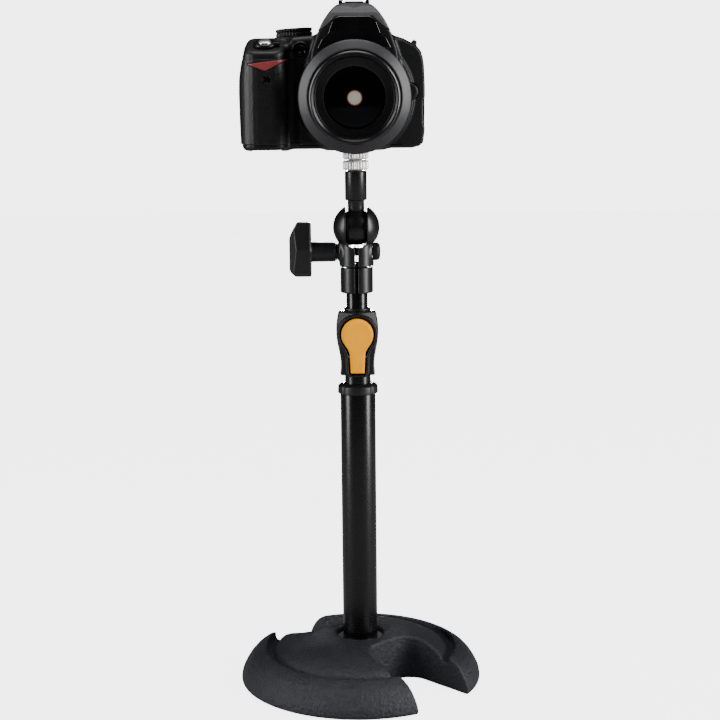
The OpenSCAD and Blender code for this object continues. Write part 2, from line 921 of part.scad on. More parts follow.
module view_prism() {
    color([0.75, 0.78, 0.8]) in_camera()
    hull() {
        space([-15, 15], [-13, 12], [54, 56]);
        space([-13, 13], [-8, 13], [70, 72]);
        space([-3, 3], [-4, 10], [83, 84]);
    }
}

// ---------------------------------------------------------------- lens

module lens_barrel() {
    color([0.08, 0.08, 0.085]) in_camera()
    lens_profile([[21.6, mount_y - 0.1], [29.4, mount_y - 0.1], [32.6, mount_y - 3.5],
        [34.6, -47.6], [sleeve_r, -47.6], [sleeve_r, -80], [inner_r + 0.5, -80],
        [inner_r + 0.5, -39], [21.6, -39]]);
}

module zoom_ring() {
    color([0.1, 0.1, 0.105]) in_camera()
    lens_profile([[sleeve_r + 0.3, zoom_y[1]], [zoom_r - 0.4, zoom_y[1]], [zoom_r, zoom_y[1] - 1],
        [zoom_r, zoom_y[0] + 4.5], [zoom_r - 1.2, zoom_y[0] + 2.6], [32.3, zoom_y[0]],
        [sleeve_r + 0.3, zoom_y[0] + 1]]);
}

module inner_barrel() {
    color([0.06, 0.06, 0.065]) in_camera()
    lens_profile([[26, -42], [inner_r, -42], [inner_r, focus_y[1] + 0.3], [26, focus_y[1] + 0.3]]);
}

module focus_ring() {
    color([0.09, 0.09, 0.095]) in_camera()
    lens_profile([[glass_r + 0.2, -95], [25.6, -95], [25.6, focus_y[1]],
        [focus_r, focus_y[1]], [focus_r, focus_y[0] + 2.4], [focus_r - 0.9, focus_y[0]],
        [25.9, focus_y[0]], [25.9, focus_y[0] + 3.6], [glass_r + 0.2, focus_y[0] + 8.5]]);
}

module front_element() {
    bulge_r = 48;
    color([0.1, 0.12, 0.14]) in_camera()
    intersection() {
        on_lens_axis(-106.8, -97, glass_r, glass_r);
        translate([0, -106.6 + bulge_r, lens_h]) sphere(r = bulge_r, $fn = 96);
    }
}

base_casting();
base_pad();
pole_bolt();
pole_washer();
pole_tube();
pole_plug();
pole_collar();
clutch_neck();
clutch_housing();
clutch_bushing();
trigger_pin();
clutch_trigger();
lock_plate();
lift_rod();
rod_bushing();
clamp_shell_left();
clamp_shell_right();
clamp_nut();
clamp_screw();
clamp_knob();
ball_stud();
lock_ring();
screw_adapter();
front_cover();
rear_cover();
top_cover();
bottom_cover();
tripod_socket();
grip_skin();
grip_accent();
front_windows();
hood_badge();
flash_head();
hot_shoe();
shutter_button();
power_switch();
mode_dial();
command_dial();
strap_lugs();
body_mount();
lens_release();
port_cover();
monitor_window();
eyecup();
button_play();
button_menu();
button_zoom();
multi_selector();
ok_button();
battery();
battery_door();
mirror_box();
reflex_mirror();
image_sensor();
view_prism();
lens_barrel();
zoom_ring();
inner_barrel();
focus_ring();
front_element();
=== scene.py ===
import json
import math

import bpy
import numpy as np
from mathutils import Matrix, Vector


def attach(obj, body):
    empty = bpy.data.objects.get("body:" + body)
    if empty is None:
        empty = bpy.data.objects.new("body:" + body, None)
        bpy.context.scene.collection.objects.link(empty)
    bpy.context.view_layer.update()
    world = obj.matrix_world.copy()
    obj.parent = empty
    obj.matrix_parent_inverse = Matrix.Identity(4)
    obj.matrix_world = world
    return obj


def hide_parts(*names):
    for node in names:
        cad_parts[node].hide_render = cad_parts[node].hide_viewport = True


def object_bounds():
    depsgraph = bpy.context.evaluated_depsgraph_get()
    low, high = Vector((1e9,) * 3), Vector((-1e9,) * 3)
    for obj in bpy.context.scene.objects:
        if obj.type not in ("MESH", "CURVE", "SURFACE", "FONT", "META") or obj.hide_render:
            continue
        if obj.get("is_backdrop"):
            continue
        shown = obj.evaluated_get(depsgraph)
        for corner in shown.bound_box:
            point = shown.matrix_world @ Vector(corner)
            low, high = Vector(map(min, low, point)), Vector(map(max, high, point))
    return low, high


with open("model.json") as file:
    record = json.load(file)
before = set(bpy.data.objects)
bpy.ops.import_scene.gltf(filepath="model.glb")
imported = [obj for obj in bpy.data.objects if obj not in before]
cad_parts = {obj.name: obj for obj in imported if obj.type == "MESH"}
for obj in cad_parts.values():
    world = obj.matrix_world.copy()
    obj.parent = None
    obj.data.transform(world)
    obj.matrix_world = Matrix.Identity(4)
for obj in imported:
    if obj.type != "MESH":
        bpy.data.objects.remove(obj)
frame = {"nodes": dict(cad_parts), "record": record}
CAD_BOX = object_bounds()

MM = 0.001
TAU = 2 * math.pi
LENS_AXIS_Z = 422.3
GLASS_R = 20.0

# ------------------------------------------------------------------ materials


def put(node, values):
    for key, value in values.items():
        node.inputs[key].default_value = value


def shade(name, color, rough, metal=0.0, grain=0.5, bump=0.1, vary=0.06, spread=0.08, coat=0.0,
          spec=0.5, sheen=0.0, cells=False, wear=0.0, coat_rough=0.08):
    """A procedural surface. grain is the size of its texture in millimetres."""
    m = bpy.data.materials.new(name)
    m.use_nodes = True
    nt = m.node_tree
    add, link = nt.nodes.new, nt.links.new
    b = nt.nodes["Principled BSDF"]
    put(b, {"Metallic": metal, "Specular IOR Level": spec, "Coat Weight": coat,
            "Coat Roughness": coat_rough, "Sheen Weight": sheen})
    co = add("ShaderNodeTexCoord")
    src = co.outputs["Object"]

    def noise(size, detail=3.0, rough_=0.55):
        n = add("ShaderNodeTexNoise")
        put(n, {"Scale": 1.0 / (size * MM), "Detail": detail, "Roughness": rough_})
        link(src, n.inputs["Vector"])
        return n.outputs["Fac"]

    def ranged(fac, lo, hi):
        r = add("ShaderNodeMapRange")
        put(r, {"From Min": 0.3, "From Max": 0.7, "To Min": lo, "To Max": hi})
        link(fac, r.inputs["Value"])
        return r.outputs["Result"]

    big = noise(14.0, 4.0)
    fine = noise(grain)
    ramp = add("ShaderNodeMix")
    ramp.data_type = "RGBA"
    other = [min(1.0, c * (1 + 2.2 * vary) + vary * 0.004) for c in color]
    ramp.inputs["A"].default_value = (*[c * (1 - vary) for c in color], 1)
    ramp.inputs["B"].default_value = (*other, 1)
    link(ranged(big, 0.0, 1.0), ramp.inputs["Factor"])
    base = ramp.outputs["Result"]
    if wear > 0:
        geo = add("ShaderNodeNewGeometry")
        r = add("ShaderNodeMapRange")
        put(r, {"From Min": 0.53, "From Max": 0.62, "To Max": wear})
        link(geo.outputs["Pointiness"], r.inputs["Value"])
        mx = add("ShaderNodeMix")
        mx.data_type = "RGBA"
        mx.inputs["B"].default_value = (*[min(1.0, c * 2.4 + 0.006) for c in color], 1)
        link(base, mx.inputs["A"])
        link(r.outputs["Result"], mx.inputs["Factor"])
        base = mx.outputs["Result"]
    link(base, b.inputs["Base Color"])
    link(ranged(fine, max(0.02, rough - spread), min(1.0, rough + spread)), b.inputs["Roughness"])
    height = fine
    if cells:
        v = add("ShaderNodeTexVoronoi")
        v.inputs["Scale"].default_value = 1.0 / (grain * 2.2 * MM)
        v.feature = "SMOOTH_F1"
        link(src, v.inputs["Vector"])
        ad = add("ShaderNodeMath")
        ad.operation = "ADD"
        link(fine, ad.inputs[0])
        link(v.outputs["Distance"], ad.inputs[1])
        height = ad.outputs[0]
    if bump > 0:
        bm = add("ShaderNodeBump")
        put(bm, {"Strength": bump, "Distance": grain * MM})
        link(height, bm.inputs["Height"])
        link(bm.outputs["Normal"], b.inputs["Normal"])
    return m


MATS = {
    "gloss_black": shade("gloss_black", (0.0015, 0.0015, 0.0018), 0.30, spec=0.32, grain=0.4,
                         bump=0.04, vary=0.1, wear=0.1),
    "cast_iron_black": shade("cast_paint", (0.0085, 0.0092, 0.0128), 0.50, grain=0.9, bump=0.75,
                             vary=0.12, cells=True, wear=0.25, spread=0.1),
    "tube_black": shade("tube_paint", (0.0007, 0.0007, 0.0009), 0.25, grain=0.6, bump=0.05,
                        vary=0.1, spread=0.05),
    "plastic_black": shade("moulded_black", (0.0034, 0.0034, 0.0042), 0.42, grain=0.35, bump=0.12,
                           vary=0.08, wear=0.15),
    "clamp_black": shade("clamp_black", (0.0024, 0.0025, 0.0034), 0.34, grain=0.5, bump=0.06,
                         vary=0.1, wear=0.1, spread=0.06),
    "amber": shade("amber_plastic", (1.0, 0.36, 0.0), 0.50, spec=0.05, grain=0.4, bump=0.08,
                   vary=0.06, spread=0.06),
    "steel_dark": shade("black_steel", (0.0024, 0.0024, 0.003), 0.30, metal=0.0, grain=0.5,
                        bump=0.05, vary=0.12, spread=0.06),
    "nickel": shade("nickel", (1.0, 0.965, 0.93), 0.44, metal=1.0, grain=0.3, bump=0.06,
                    vary=0.06, spread=0.06),
    "zinc": shade("zinc", (0.52, 0.53, 0.52), 0.42, metal=1.0, grain=0.4, bump=0.12, vary=0.12),
    "camera_black": shade("camera_skin", (0.0022, 0.0022, 0.0028), 0.44, spec=0.36, grain=0.28,
                          bump=0.22, vary=0.06, cells=True, spread=0.06),
    "grip_rubber": shade("grip_rubber", (0.0024, 0.0024, 0.0032), 0.44, grain=0.55, bump=0.28,
                         vary=0.04, cells=True, spread=0.08),
    "rubber_black": shade("rubber_black", (0.0075, 0.0075, 0.008), 0.66, grain=0.4, bump=0.15,
                          vary=0.08, sheen=0.08),
    "ring_rubber": shade("ring_rubber", (0.004, 0.004, 0.0045), 0.50, grain=0.35, bump=0.14,
                         vary=0.08),
    "accent_red": shade("accent_red", (0.20, 0.024, 0.028), 0.42, grain=0.4, bump=0.06, vary=0.06,
                        coat=0.3),
    "window_black": shade("window_black", (0.0012, 0.0012, 0.0015), 0.12, grain=3.0, bump=0.01,
                          vary=0.2, spread=0.03, coat=0.5),
    "flash_grey": shade("flash_grey", (0.040, 0.040, 0.042), 0.50, grain=0.28, bump=0.2,
                        vary=0.06, cells=True, spread=0.06),
    "shoe_metal": shade("shoe_metal", (0.30, 0.30, 0.31), 0.35, metal=1.0, grain=0.3, bump=0.08,
                        vary=0.08),
    "silver": shade("silver", (0.80, 0.78, 0.80), 0.30, metal=1.0, grain=0.3, bump=0.05,
                    vary=0.05),
    "mount_steel": shade("mount_steel", (0.55, 0.55, 0.55), 0.25, metal=1.0, grain=0.3, bump=0.05,
                         vary=0.05),
    "screen": shade("screen", (0.006, 0.006, 0.008), 0.08, grain=4.0, bump=0.008, vary=0.2,
                    spread=0.02, coat=0.6),
    "mirror": shade("mirror", (0.8, 0.82, 0.84), 0.05, metal=1.0, grain=2.0, bump=0.005,
                    vary=0.02, spread=0.02),
    "sensor": shade("sensor", (0.05, 0.12, 0.10), 0.15, grain=1.0, bump=0.02, vary=0.1, coat=0.5),
    "prism": shade("prism", (0.55, 0.62, 0.66), 0.06, grain=3.0, bump=0.005, vary=0.04,
                   spread=0.02, coat=0.5),
    "lens_black": shade("lens_black", (0.0022, 0.0022, 0.0026), 0.30, grain=0.3, bump=0.06,
                        vary=0.06, spread=0.05),
    "lens_bevel": shade("lens_bevel", (0.019, 0.019, 0.0215), 0.44, grain=0.3, bump=0.08, vary=0.05,
                        spread=0.06),
}


def glass_with_painted_light():
    """Dark multi-coated glass with painted light: a pale disc with a warm rim is painted into its
    colour in the middle, a painted reflection of light deep in the lens.
    """
    m = shade("coated_glass_painted_light", (0.0012, 0.0014, 0.002), 0.05, grain=3.0, bump=0.004, vary=0.2,
              spread=0.02, coat=0.0, coat_rough=0.02, spec=0.12)
    nt = m.node_tree
    add, link = nt.nodes.new, nt.links.new
    b = nt.nodes["Principled BSDF"]

    def maths(op, a, other=None):
        node = add("ShaderNodeMath")
        node.operation = op
        link(a, node.inputs[0])
        if isinstance(other, float):
            node.inputs[1].default_value = other
        elif other is not None:
            link(other, node.inputs[1])
        return node.outputs[0]

    co = add("ShaderNodeTexCoord")
    sep = add("ShaderNodeSeparateXYZ")
    link(co.outputs["Object"], sep.inputs[0])
    dx = maths("SUBTRACT", sep.outputs["X"], 0.0)
    dz = maths("SUBTRACT", sep.outputs["Z"], LENS_AXIS_Z * MM)
    squares = maths("ADD", maths("MULTIPLY", dx, dx), maths("MULTIPLY", dz, dz))
    share = maths("MULTIPLY", maths("SQRT", squares), 1.0 / (GLASS_R * MM))
    # painted reflection: a pale disc with a warm rim at the centre stands for light seen deep in the
    # lens; dark beyond it, a little lighter again near the edge
    painted_light_ramp = add("ShaderNodeValToRGB")
    el = painted_light_ramp.color_ramp.elements
    el[0].position, el[0].color = 0.0, (0.36, 0.34, 0.30, 1)
    el[1].position, el[1].color = 1.0, (0.0012, 0.0012, 0.0016, 1)
    for p, c in ((0.195, (0.31, 0.29, 0.25, 1)), (0.222, (0.20, 0.055, 0.035, 1)),
                 (0.238, (0.10, 0.025, 0.018, 1)), (0.25, (0.0010, 0.0010, 0.0013, 1)),
                 (0.55, (0.0008, 0.0009, 0.0014, 1)), (0.78, (0.0010, 0.0012, 0.0020, 1)),
                 (0.9, (0.0014, 0.0016, 0.0022, 1))):
        e = el.new(p)
        e.color = c
    link(share, painted_light_ramp.inputs["Fac"])
    link(painted_light_ramp.outputs["Color"], b.inputs["Base Color"])
    return m


MATS["lens_glass"] = glass_with_painted_light()


# ------------------------------------------------------------------ mesh making


def place(name, verts, faces, body, slot, replaces=(), mat=None, sharp=None):
    """A new piece from vertices in millimetres, riding on a body."""
    me = bpy.data.meshes.new(name)
    me.from_pydata([tuple(v) for v in (np.asarray(verts, dtype=float) * MM)], [],
                   [tuple(int(i) for i in f) for f in faces])
    me.update()
    me.materials.append(mat or MATS[slot])
    ob = bpy.data.objects.new(name, me)
    bpy.context.scene.collection.objects.link(ob)
    me.polygons.foreach_set("use_smooth", [True] * len(me.polygons))
    if sharp is not None:
        me.set_sharp_from_angle(angle=math.radians(sharp))
    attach(ob, body)
    if replaces:
        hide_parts(*replaces)
    return ob


def join_parts(parts):
    verts, faces, n = [], [], 0
    for v, f in parts:
        verts.extend([tuple(p) for p in v])
        faces.extend([tuple(i + n for i in q) for q in f])
        n += len(v)
    return verts, faces


def lathe(profile, segs=96, wave=None, closed=True, origin=(0, 0, 0), axis="z"):
    """Revolves (radius, height) points. wave(angle, index) adds to the radius."""
    n = len(profile)
    verts = []
    for k in range(segs):
        a = TAU * k / segs
        for i, (r, h) in enumerate(profile):
            rr = r + (wave(a, i) if wave and r > 1e-6 else 0.0)
            verts.append((rr * math.cos(a), rr * math.sin(a), h))
    faces = []
    last = n if closed else n - 1
    for k in range(segs):
        k2 = (k + 1) % segs
        for i in range(last):
            j = (i + 1) % n
            faces.append([k * n + i, k2 * n + i, k2 * n + j, k * n + j])
    verts = np.array(verts)
    # merge points on the axis
    remap = list(range(len(verts)))
    for i in range(n):
        if profile[i][0] <= 1e-6:
            for k in range(segs):
                remap[k * n + i] = i
    out, index = [], {}
    for i, v in enumerate(verts):
        if remap[i] == i:
            index[i] = len(out)
            out.append(v)
    clean = []
    for q in faces:
        q2 = []
        for i in q:
            t = index[remap[i]]
            if not q2 or q2[-1] != t:
                q2.append(t)
        if len(q2) > 1 and q2[0] == q2[-1]:
            q2.pop()
        if len(q2) > 2:
            clean.append(q2)
    verts = np.array(out)
    if axis == "x":
        verts = verts[:, [2, 0, 1]]
    if axis == "-y":
        verts = np.stack([verts[:, 0], -verts[:, 2], verts[:, 1]], axis=1)
    return verts + np.array(origin), clean


def soften(profile, r=0.4, steps=3, closed=True):
    """Rounds the corners of a polyline of (radius, height) points."""
    out = []
    n = len(profile)
    pts = [np.array(p, dtype=float) for p in profile]
    for i in range(n):
        if not closed and i in (0, n - 1):
            out.append(tuple(pts[i]))
            continue
        p, a, b = pts[i], pts[i - 1], pts[(i + 1) % n]
        da, db = np.linalg.norm(a - p), np.linalg.norm(b - p)
        if p[0] <= 1e-6 or da < 1e-6 or db < 1e-6:
            out.append(tuple(p))
            continue
        t = min(r, 0.45 * da, 0.45 * db)
        s, e = p + (a - p) / da * t, p + (b - p) / db * t
        for k in range(steps + 1):
            u = k / steps
            out.append(tuple((1 - u) ** 2 * s + 2 * u * (1 - u) * p + u * u * e))
    return out


def sdf_mesh(fn, lo, hi, h, relax=2, project=3):
    """The zero surface of a distance field fn(x, y, z), in millimetres, as a quad mesh."""
    ax = [np.arange(lo[i] - 2 * h, hi[i] + 3 * h, h, dtype=np.float32) for i in range(3)]
    X, Y, Z = ax[0][:, None, None], ax[1][None, :, None], ax[2][None, None, :]
    D = np.broadcast_to(fn(X, Y, Z), (len(ax[0]), len(ax[1]), len(ax[2]))).astype(np.float32)
    S = D < 0
    c = np.zeros(tuple(s - 1 for s in S.shape), dtype=np.uint8)
    for dx in (0, 1):
        for dy in (0, 1):
            for dz in (0, 1):
                c += S[dx:S.shape[0] - 1 + dx, dy:S.shape[1] - 1 + dy, dz:S.shape[2] - 1 + dz]
    act = (c > 0) & (c < 8)
    idx = np.full(act.shape, -1, dtype=np.int64)
    cells = np.argwhere(act)
    idx[act] = np.arange(len(cells))
    P = np.zeros((len(cells), 3))
    W = np.zeros(len(cells))
    corners = [(i, j, k) for i in (0, 1) for j in (0, 1) for k in (0, 1)]
    vals = {q: D[cells[:, 0] + q[0], cells[:, 1] + q[1], cells[:, 2] + q[2]] for q in corners}
    for q in corners:
        for a in range(3):
            if q[a]:
                continue
            r = tuple(q[b] + (b == a) for b in range(3))
            va, vb = vals[q], vals[r]
            m = (va < 0) != (vb < 0)
            t = np.where(m, va / np.where(m, va - vb, 1), 0)
            pos = np.tile(np.array(q, dtype=float), (len(cells), 1))
            pos[:, a] += t
            P[m] += pos[m]
            W[m] += 1
    P = (P / W[:, None] + cells) * h + np.array([ax[0][0], ax[1][0], ax[2][0]])
    quads = []
    for a in range(3):
        b, c2 = (a + 1) % 3, (a + 2) % 3
        s0 = [slice(None)] * 3
        s1 = [slice(None)] * 3
        s0[a], s1[a] = slice(0, -1), slice(1, None)
        A, B = S[tuple(s0)], S[tuple(s1)]
        for flip in (0, 1):
            e = np.argwhere((A & ~B) if not flip else (~A & B))
            e = e[(e[:, b] > 0) & (e[:, c2] > 0)]

            def cell(db, dc):
                q = e.copy()
                q[:, b] -= db
                q[:, c2] -= dc
                return idx[q[:, 0], q[:, 1], q[:, 2]]
            ring = [cell(1, 1), cell(0, 1), cell(0, 0), cell(1, 0)]
            if flip:
                ring.reverse()
            quads.append(np.stack(ring, axis=1))
    quads = np.concatenate(quads)
    deg = np.zeros(len(P))
    np.add.at(deg, quads.ravel(), 2)
    eps = 0.25 * h

    def snap(P, steps):
        for _ in range(steps):
            p = [P[:, i].astype(np.float64) for i in range(3)]
            d = fn(*p)
            g = []
            for i in range(3):
                up, dn = list(p), list(p)
                up[i] = p[i] + eps
                dn[i] = p[i] - eps
                g.append((fn(*up) - fn(*dn)) / (2 * eps))
            g = np.stack([np.broadcast_to(v, d.shape) for v in g], axis=1)
            L = np.maximum((g ** 2).sum(axis=1), 0.2)
            step = np.clip(d / L, -0.5 * h, 0.5 * h)
            P = P - g * step[:, None]
        return P
    P = snap(P, 1)
    for _ in range(relax):
        acc = np.zeros_like(P)
        for k in range(4):
            i, j, l = quads[:, k], quads[:, (k + 1) % 4], quads[:, (k + 3) % 4]
            np.add.at(acc, i, P[j] + P[l])
        P = 0.5 * P + 0.5 * acc / deg[:, None]
        P = snap(P, 1)
    P = snap(P, project)
    return P, quads


# distance field parts, all in millimetres
def smin(a, b, r):
    h = np.maximum(r - np.abs(a - b), 0.0) / r
    return np.minimum(a, b) - h * h * r * 0.25


def smax(a, b, r):
    return -smin(-a, -b, r)


def rbox(x, y, z, c, half, r):
    q = [np.abs(v - cc) - hh + r for v, cc, hh in zip((x, y, z), c, half)]
    out = np.sqrt(sum(np.maximum(v, 0) ** 2 for v in q))
    return out + np.minimum(np.maximum(np.maximum(q[0], q[1]), q[2]), 0) - r


def both(a, b, r):
    """Inside two distances at once, with the corner between them rounded by r."""
    a, b = a + r, b + r
    corner = np.sqrt(np.maximum(a, 0) ** 2 + np.maximum(b, 0) ** 2)
    return corner + np.minimum(np.maximum(a, b), 0) - r


def ext(d2, t, lo, hi, r):
    """A flat shape d2 pulled along t from lo to hi, with edges rounded by r."""
    return both(d2, np.abs(t - (lo + hi) / 2) - (hi - lo) / 2, r)


def rbox2(x, z, cx, cz, hx, hz, r):
    return both(np.abs(x - cx) - hx, np.abs(z - cz) - hz, r)


def poly2(x, y, pts):
    """Distance to a polygon, negative inside it."""
    d = None
    s = None
    n = len(pts)
    for i in range(n):
        ax_, ay = pts[i]
        bx, by = pts[i - 1]
        ex, ey = bx - ax_, by - ay
        wx, wy = x - ax_, y - ay
        t = np.clip((wx * ex + wy * ey) / (ex * ex + ey * ey), 0, 1)
        dd = (wx - ex * t) ** 2 + (wy - ey * t) ** 2
        d = dd if d is None else np.minimum(d, dd)
        c1, c2, c3 = y >= ay, y < by, ex * wy > ey * wx
        f = (c1 & c2 & c3) | (~c1 & ~c2 & ~c3)
        s = f if s is None else s ^ f
    return np.where(s, -1.0, 1.0) * np.sqrt(d)


def cyl(x, y, z, c, r, half, rd, axis):
    v = [x - c[0], y - c[1], z - c[2]]
    t = v.pop(axis)
    return ext(np.hypot(v[0], v[1]) - r, t, -half, half, rd)


def sphere(x, y, z, c, r):
    return np.sqrt((x - c[0]) ** 2 + (y - c[1]) ** 2 + (z - c[2]) ** 2) - r


def hull2(circles, steps):
    """The outline of a band stretched round some circles (x, y, radius)."""
    pts = [(cx + r * math.cos(TAU * k / steps), cy + r * math.sin(TAU * k / steps))
           for cx, cy, r in circles for k in range(steps)]
    pts = sorted(set((round(a, 6), round(b, 6)) for a, b in pts))

    def half(seq):
        out = []
        for p in seq:
            while len(out) > 1 and ((out[-1][0] - out[-2][0]) * (p[1] - out[-2][1])
                                    - (out[-1][1] - out[-2][1]) * (p[0] - out[-2][0])) <= 1e-9:
                out.pop()
            out.append(p)
        return out[:-1]
    return half(pts) + half(pts[::-1])


def rib(a, count):
    """0 to 1 and back, count times round a turn."""
    return 0.5 - 0.5 * math.cos(count * a)


# ------------------------------------------------------------------ stand

POLE_R = 12.5
POLE_TOP = 218.8
ROD_R = 7.5
NOTCH = math.radians(-46)
BALL_Z = 331.0
SCREW_Z = BALL_Z - 17.2
CLUTCH_Z = 228.0
KEY_H = CLUTCH_Z + 29.0
FINE = 1.0

BASE_PROFILE = [(4.2, 0.8), (86.0, 0.8), (87.1, 1.5), (87.3, 3.2), (86.6, 7.0), (84.6, 11.2),
                (81.8, 15.8), (78.4, 19.7), (74.6, 22.4), (71.9, 23.8), (70.6, 24.3),
                (69.6, 24.1), (69.1, 20.6), (68.2, 19.6), (64.0, 19.2), (63.1, 20.0),
                (62.4, 21.9), (60.8, 24.1), (58.2, 25.9), (53.0, 28.4), (46.5, 30.5),
                (40.0, 32.0), (33.0, 33.1), (28.0, 33.6), (17.7, 34.0), (17.2, 33.5),
                (17.2, 29.5), (4.2, 29.5)]


def base_field(x, y, z):
    r = np.hypot(x, y)
    d = poly2(r, z, BASE_PROFILE)
    v = -x * math.sin(NOTCH) + y * math.cos(NOTCH)
    u = np.abs(x * math.cos(NOTCH) + y * math.sin(NOTCH))
    across, along = np.abs(v) - 10.0 - (z - 15) * 0.02, 41.0 - u
    notch = (np.hypot(np.maximum(across, 0), np.maximum(along, 0))
             + np.minimum(np.maximum(across, along), 0) - 15.0)
    d = smax(d, -notch, 1.6)
    pocket = np.maximum(r - 9.6, z - 7.6)
    return np.maximum(d, -pocket)


v, f = sdf_mesh(base_field, (-87.4, -87.4, 0.8), (87.4, 87.4, 34), 0.9 * FINE, relax=1)
place("base_body", v, f, "stand", "cast_iron_black", ["base_casting"])

v, f = lathe(soften([(12.7, 29.6), (16.7, 29.6), (16.7, 30.9), (12.7, 30.9)], 0.35), 96)
place("foot_washer", v, f, "stand", "zinc", ["pole_washer"], sharp=50)
v, f = lathe(soften([(11.0, 29.55), (POLE_R, 29.55), (POLE_R, POLE_TOP), (11.0, POLE_TOP)], 0.3), 128)
place("pole", v, f, "stand", "tube_black", ["pole_tube"], sharp=50)
v, f = lathe(soften([(12.55, 212.8), (13.8, 212.8), (14.3, 213.4), (14.1, 218.0), (13.2, 219.0),
                     (11.1, 220.0), (10.9, 220.2), (9.15, 220.2), (9.15, 192), (10.9, 192),
                     (10.9, 218.9), (12.55, 218.9)], 0.3, 3), 192,
             wave=lambda a, i: -0.55 * max(0.0, math.cos(4 * a + math.pi)) ** 30 * (i < 24))
place("collar", v, f, "stand", "plastic_black", ["pole_collar"], sharp=60)
v, f = lathe(soften([(7.6, 180), (9.1, 180), (9.1, 238), (7.6, 238)], 0.3), 96)
place("neck_tube", v, f, "stand", "tube_black", ["clutch_neck"], sharp=50)
v, f = lathe(soften([(6.2, 72), (ROD_R, 72), (ROD_R, 306), (6.2, 306)], 0.5), 96)
place("rod", v, f, "rod", "tube_black", ["lift_rod"], sharp=50)
top = CLUTCH_Z + 44.5
v, f = lathe(soften([(7.56, top - 6.3), (8.85, top - 6.3), (8.85, top + 0.1), (9.3, top + 0.15),
                     (9.3, top + 1.2), (8.9, top + 1.6), (7.56, top + 1.6)], 0.25), 96)
place("guide_ring", v, f, "stand", "plastic_black", ["clutch_bushing"], sharp=50)


def key_field(x, z, grow=0.0):
    head = np.hypot(x, z - KEY_H) - 11.2
    drop = np.clip(KEY_H - 16 - z, 0, 14)
    stem = rbox2(x, z, 0, CLUTCH_Z + 15.0, 5.35, 14.0, 0.9) + 0.05 * drop
    return smin(head, stem, 5.0) - grow


def clutch_half(z):
    h = z - CLUTCH_Z
    mid = 11.8 + 3.25 * (1 - np.cos(np.pi * np.clip((h - 7.6) / 24.0, 0, 1))) / 2
    low = 0.7 * np.clip((7.6 - h) / 8.0, 0, 1.4) ** 2
    high = -1.7 * np.clip((h - 31.6) / 12.9, 0, 1.3) ** 2
    return mid + low + high


CLUTCH_PLAN = hull2([(0, 0, 12.3), (-11.6, -11.5, 3.9), (11.6, -11.5, 3.9)], 24)


def housing_field(x, y, z):
    plan = poly2(x, y, CLUTCH_PLAN)
    side = (np.abs(x) - clutch_half(z)) * 0.97
    d = smax(side, plan, 1.6)
    d = smax(d, np.abs(z - (CLUTCH_Z + 22.2)) - 22.4, 1.6)
    corner = (np.abs(x) - 12.0) * 0.5 + (z - (CLUTCH_Z + 43.2)) * 0.5 + (-9.0 - y) * 0.7
    d = smax(d, corner, 1.0)
    rim = ext(key_field(x, z, 3.0), y, -16.9, -10, 0.7)
    d = smin(d, smax(rim, np.abs(x) - clutch_half(z) + 0.3, 0.5), 0.4)
    tongue = cyl(x, y, z, (0, 0, CLUTCH_Z), 10.0, 1.8, 0.3, 2)
    d = smin(d, tongue, 0.6)
    d = smax(d, -ext(key_field(x, z, 1.3), y, -30, -11.0, 0.1), 0.7)
    d = np.maximum(d, -(np.hypot(x, y) - 9.12 + 0.95 * (z > CLUTCH_Z + 13)))
    d = np.maximum(d, -rbox(x, y, z, (0, -0.6, CLUTCH_Z + 24.5), (9.0, 9.6, 8.0), 3.0))
    return np.maximum(d, -rbox(x, y, z, (0, -10, CLUTCH_Z + 13), (5.3, 3, 4), 0.3))


v, f = sdf_mesh(housing_field, (-16, -18, 225.5), (16, 13.5, 273.5), 0.5 * FINE)
place("clutch_shell", v, f, "stand", "plastic_black", ["clutch_housing"])


def trigger_field(x, y, z):
    d = ext(key_field(x, z), y, -17.8, -13.4, 0.2)
    slope = (key_field(x, z + 0.7) + 1.35) * 0.61 + (-17.8 - y) * 0.79
    return smax(d, slope, 0.3)


v, f = sdf_mesh(trigger_field, (-12, -18.2, 227.5), (12, -13, 269), 0.42 * FINE)
place("trigger", v, f, "trigger", "amber", ["clutch_trigger"])

# ball clamp


def clamp_field(x, y, z):
    r = np.hypot(x, y)
    d = sphere(x, y, z, (0, 0, BALL_Z), 16.35)
    mid = cyl(x, y, z, (0, 0, BALL_Z - 20), 12.1, 7.3, 0.6, 2)
    d = smin(d, mid, 2.0)
    low = cyl(x, y, z, (0, 0, BALL_Z - 36.9), 11.45, 9.1, 0.8, 2)
    d = smin(d, low, 0.15)
    boss = cyl(x, y, z, (-0.7, 0, SCREW_Z), 7.0, 11.5, 0.7, 0)
    d = smin(d, boss, 1.8)
    neck = np.abs(z - (BALL_Z - 27.6)) - 0.35
    d = np.maximum(d, -np.maximum(neck, 10.9 - r))
    d = np.maximum(d, -sphere(x, y, z, (0, 0, BALL_Z), 13.15))
    slot = rbox2(x, z, 0, BALL_Z + 16, 7.5, 29.3, 5.0)
    d = smax(d, -slot, 0.8)
    d = np.maximum(d, -np.maximum(r - 7.56, z - (BALL_Z - 24.4)))
    d = np.maximum(d, -(np.hypot(y, z - SCREW_Z) - 3.2))
    return np.maximum(d, -cyl(x, y, z, (20, 0, SCREW_Z), 6.6, 9.0, 0.3, 0))


for side, sign in (("left", -1), ("right", 1)):
    v, f = sdf_mesh(lambda x, y, z, s=sign: smax(clamp_field(x, y, z), 1.15 - s * x, 0.3),
                    (-16.7 if sign < 0 else 1, -17, 284), (-1 if sign < 0 else 16.7, 17, 348),
                    0.5 * FINE)
    place("cup_" + side, v, f, "clamp", "clamp_black", ["clamp_shell_" + side])

v, f = lathe(soften([(3.1, 11.3), (6.0, 11.3), (6.3, 11.8), (6.3, 14.2), (5.9, 15.6), (4.6, 16.5),
                     (2.2, 16.8), (0, 16.85), (0, 14.2), (3.1, 14.2)], 0.3), 72, axis="x",
             origin=(0, 0, SCREW_Z))
place("dome_nut", v, f, "clamp", "plastic_black", ["clamp_nut"], sharp=60)

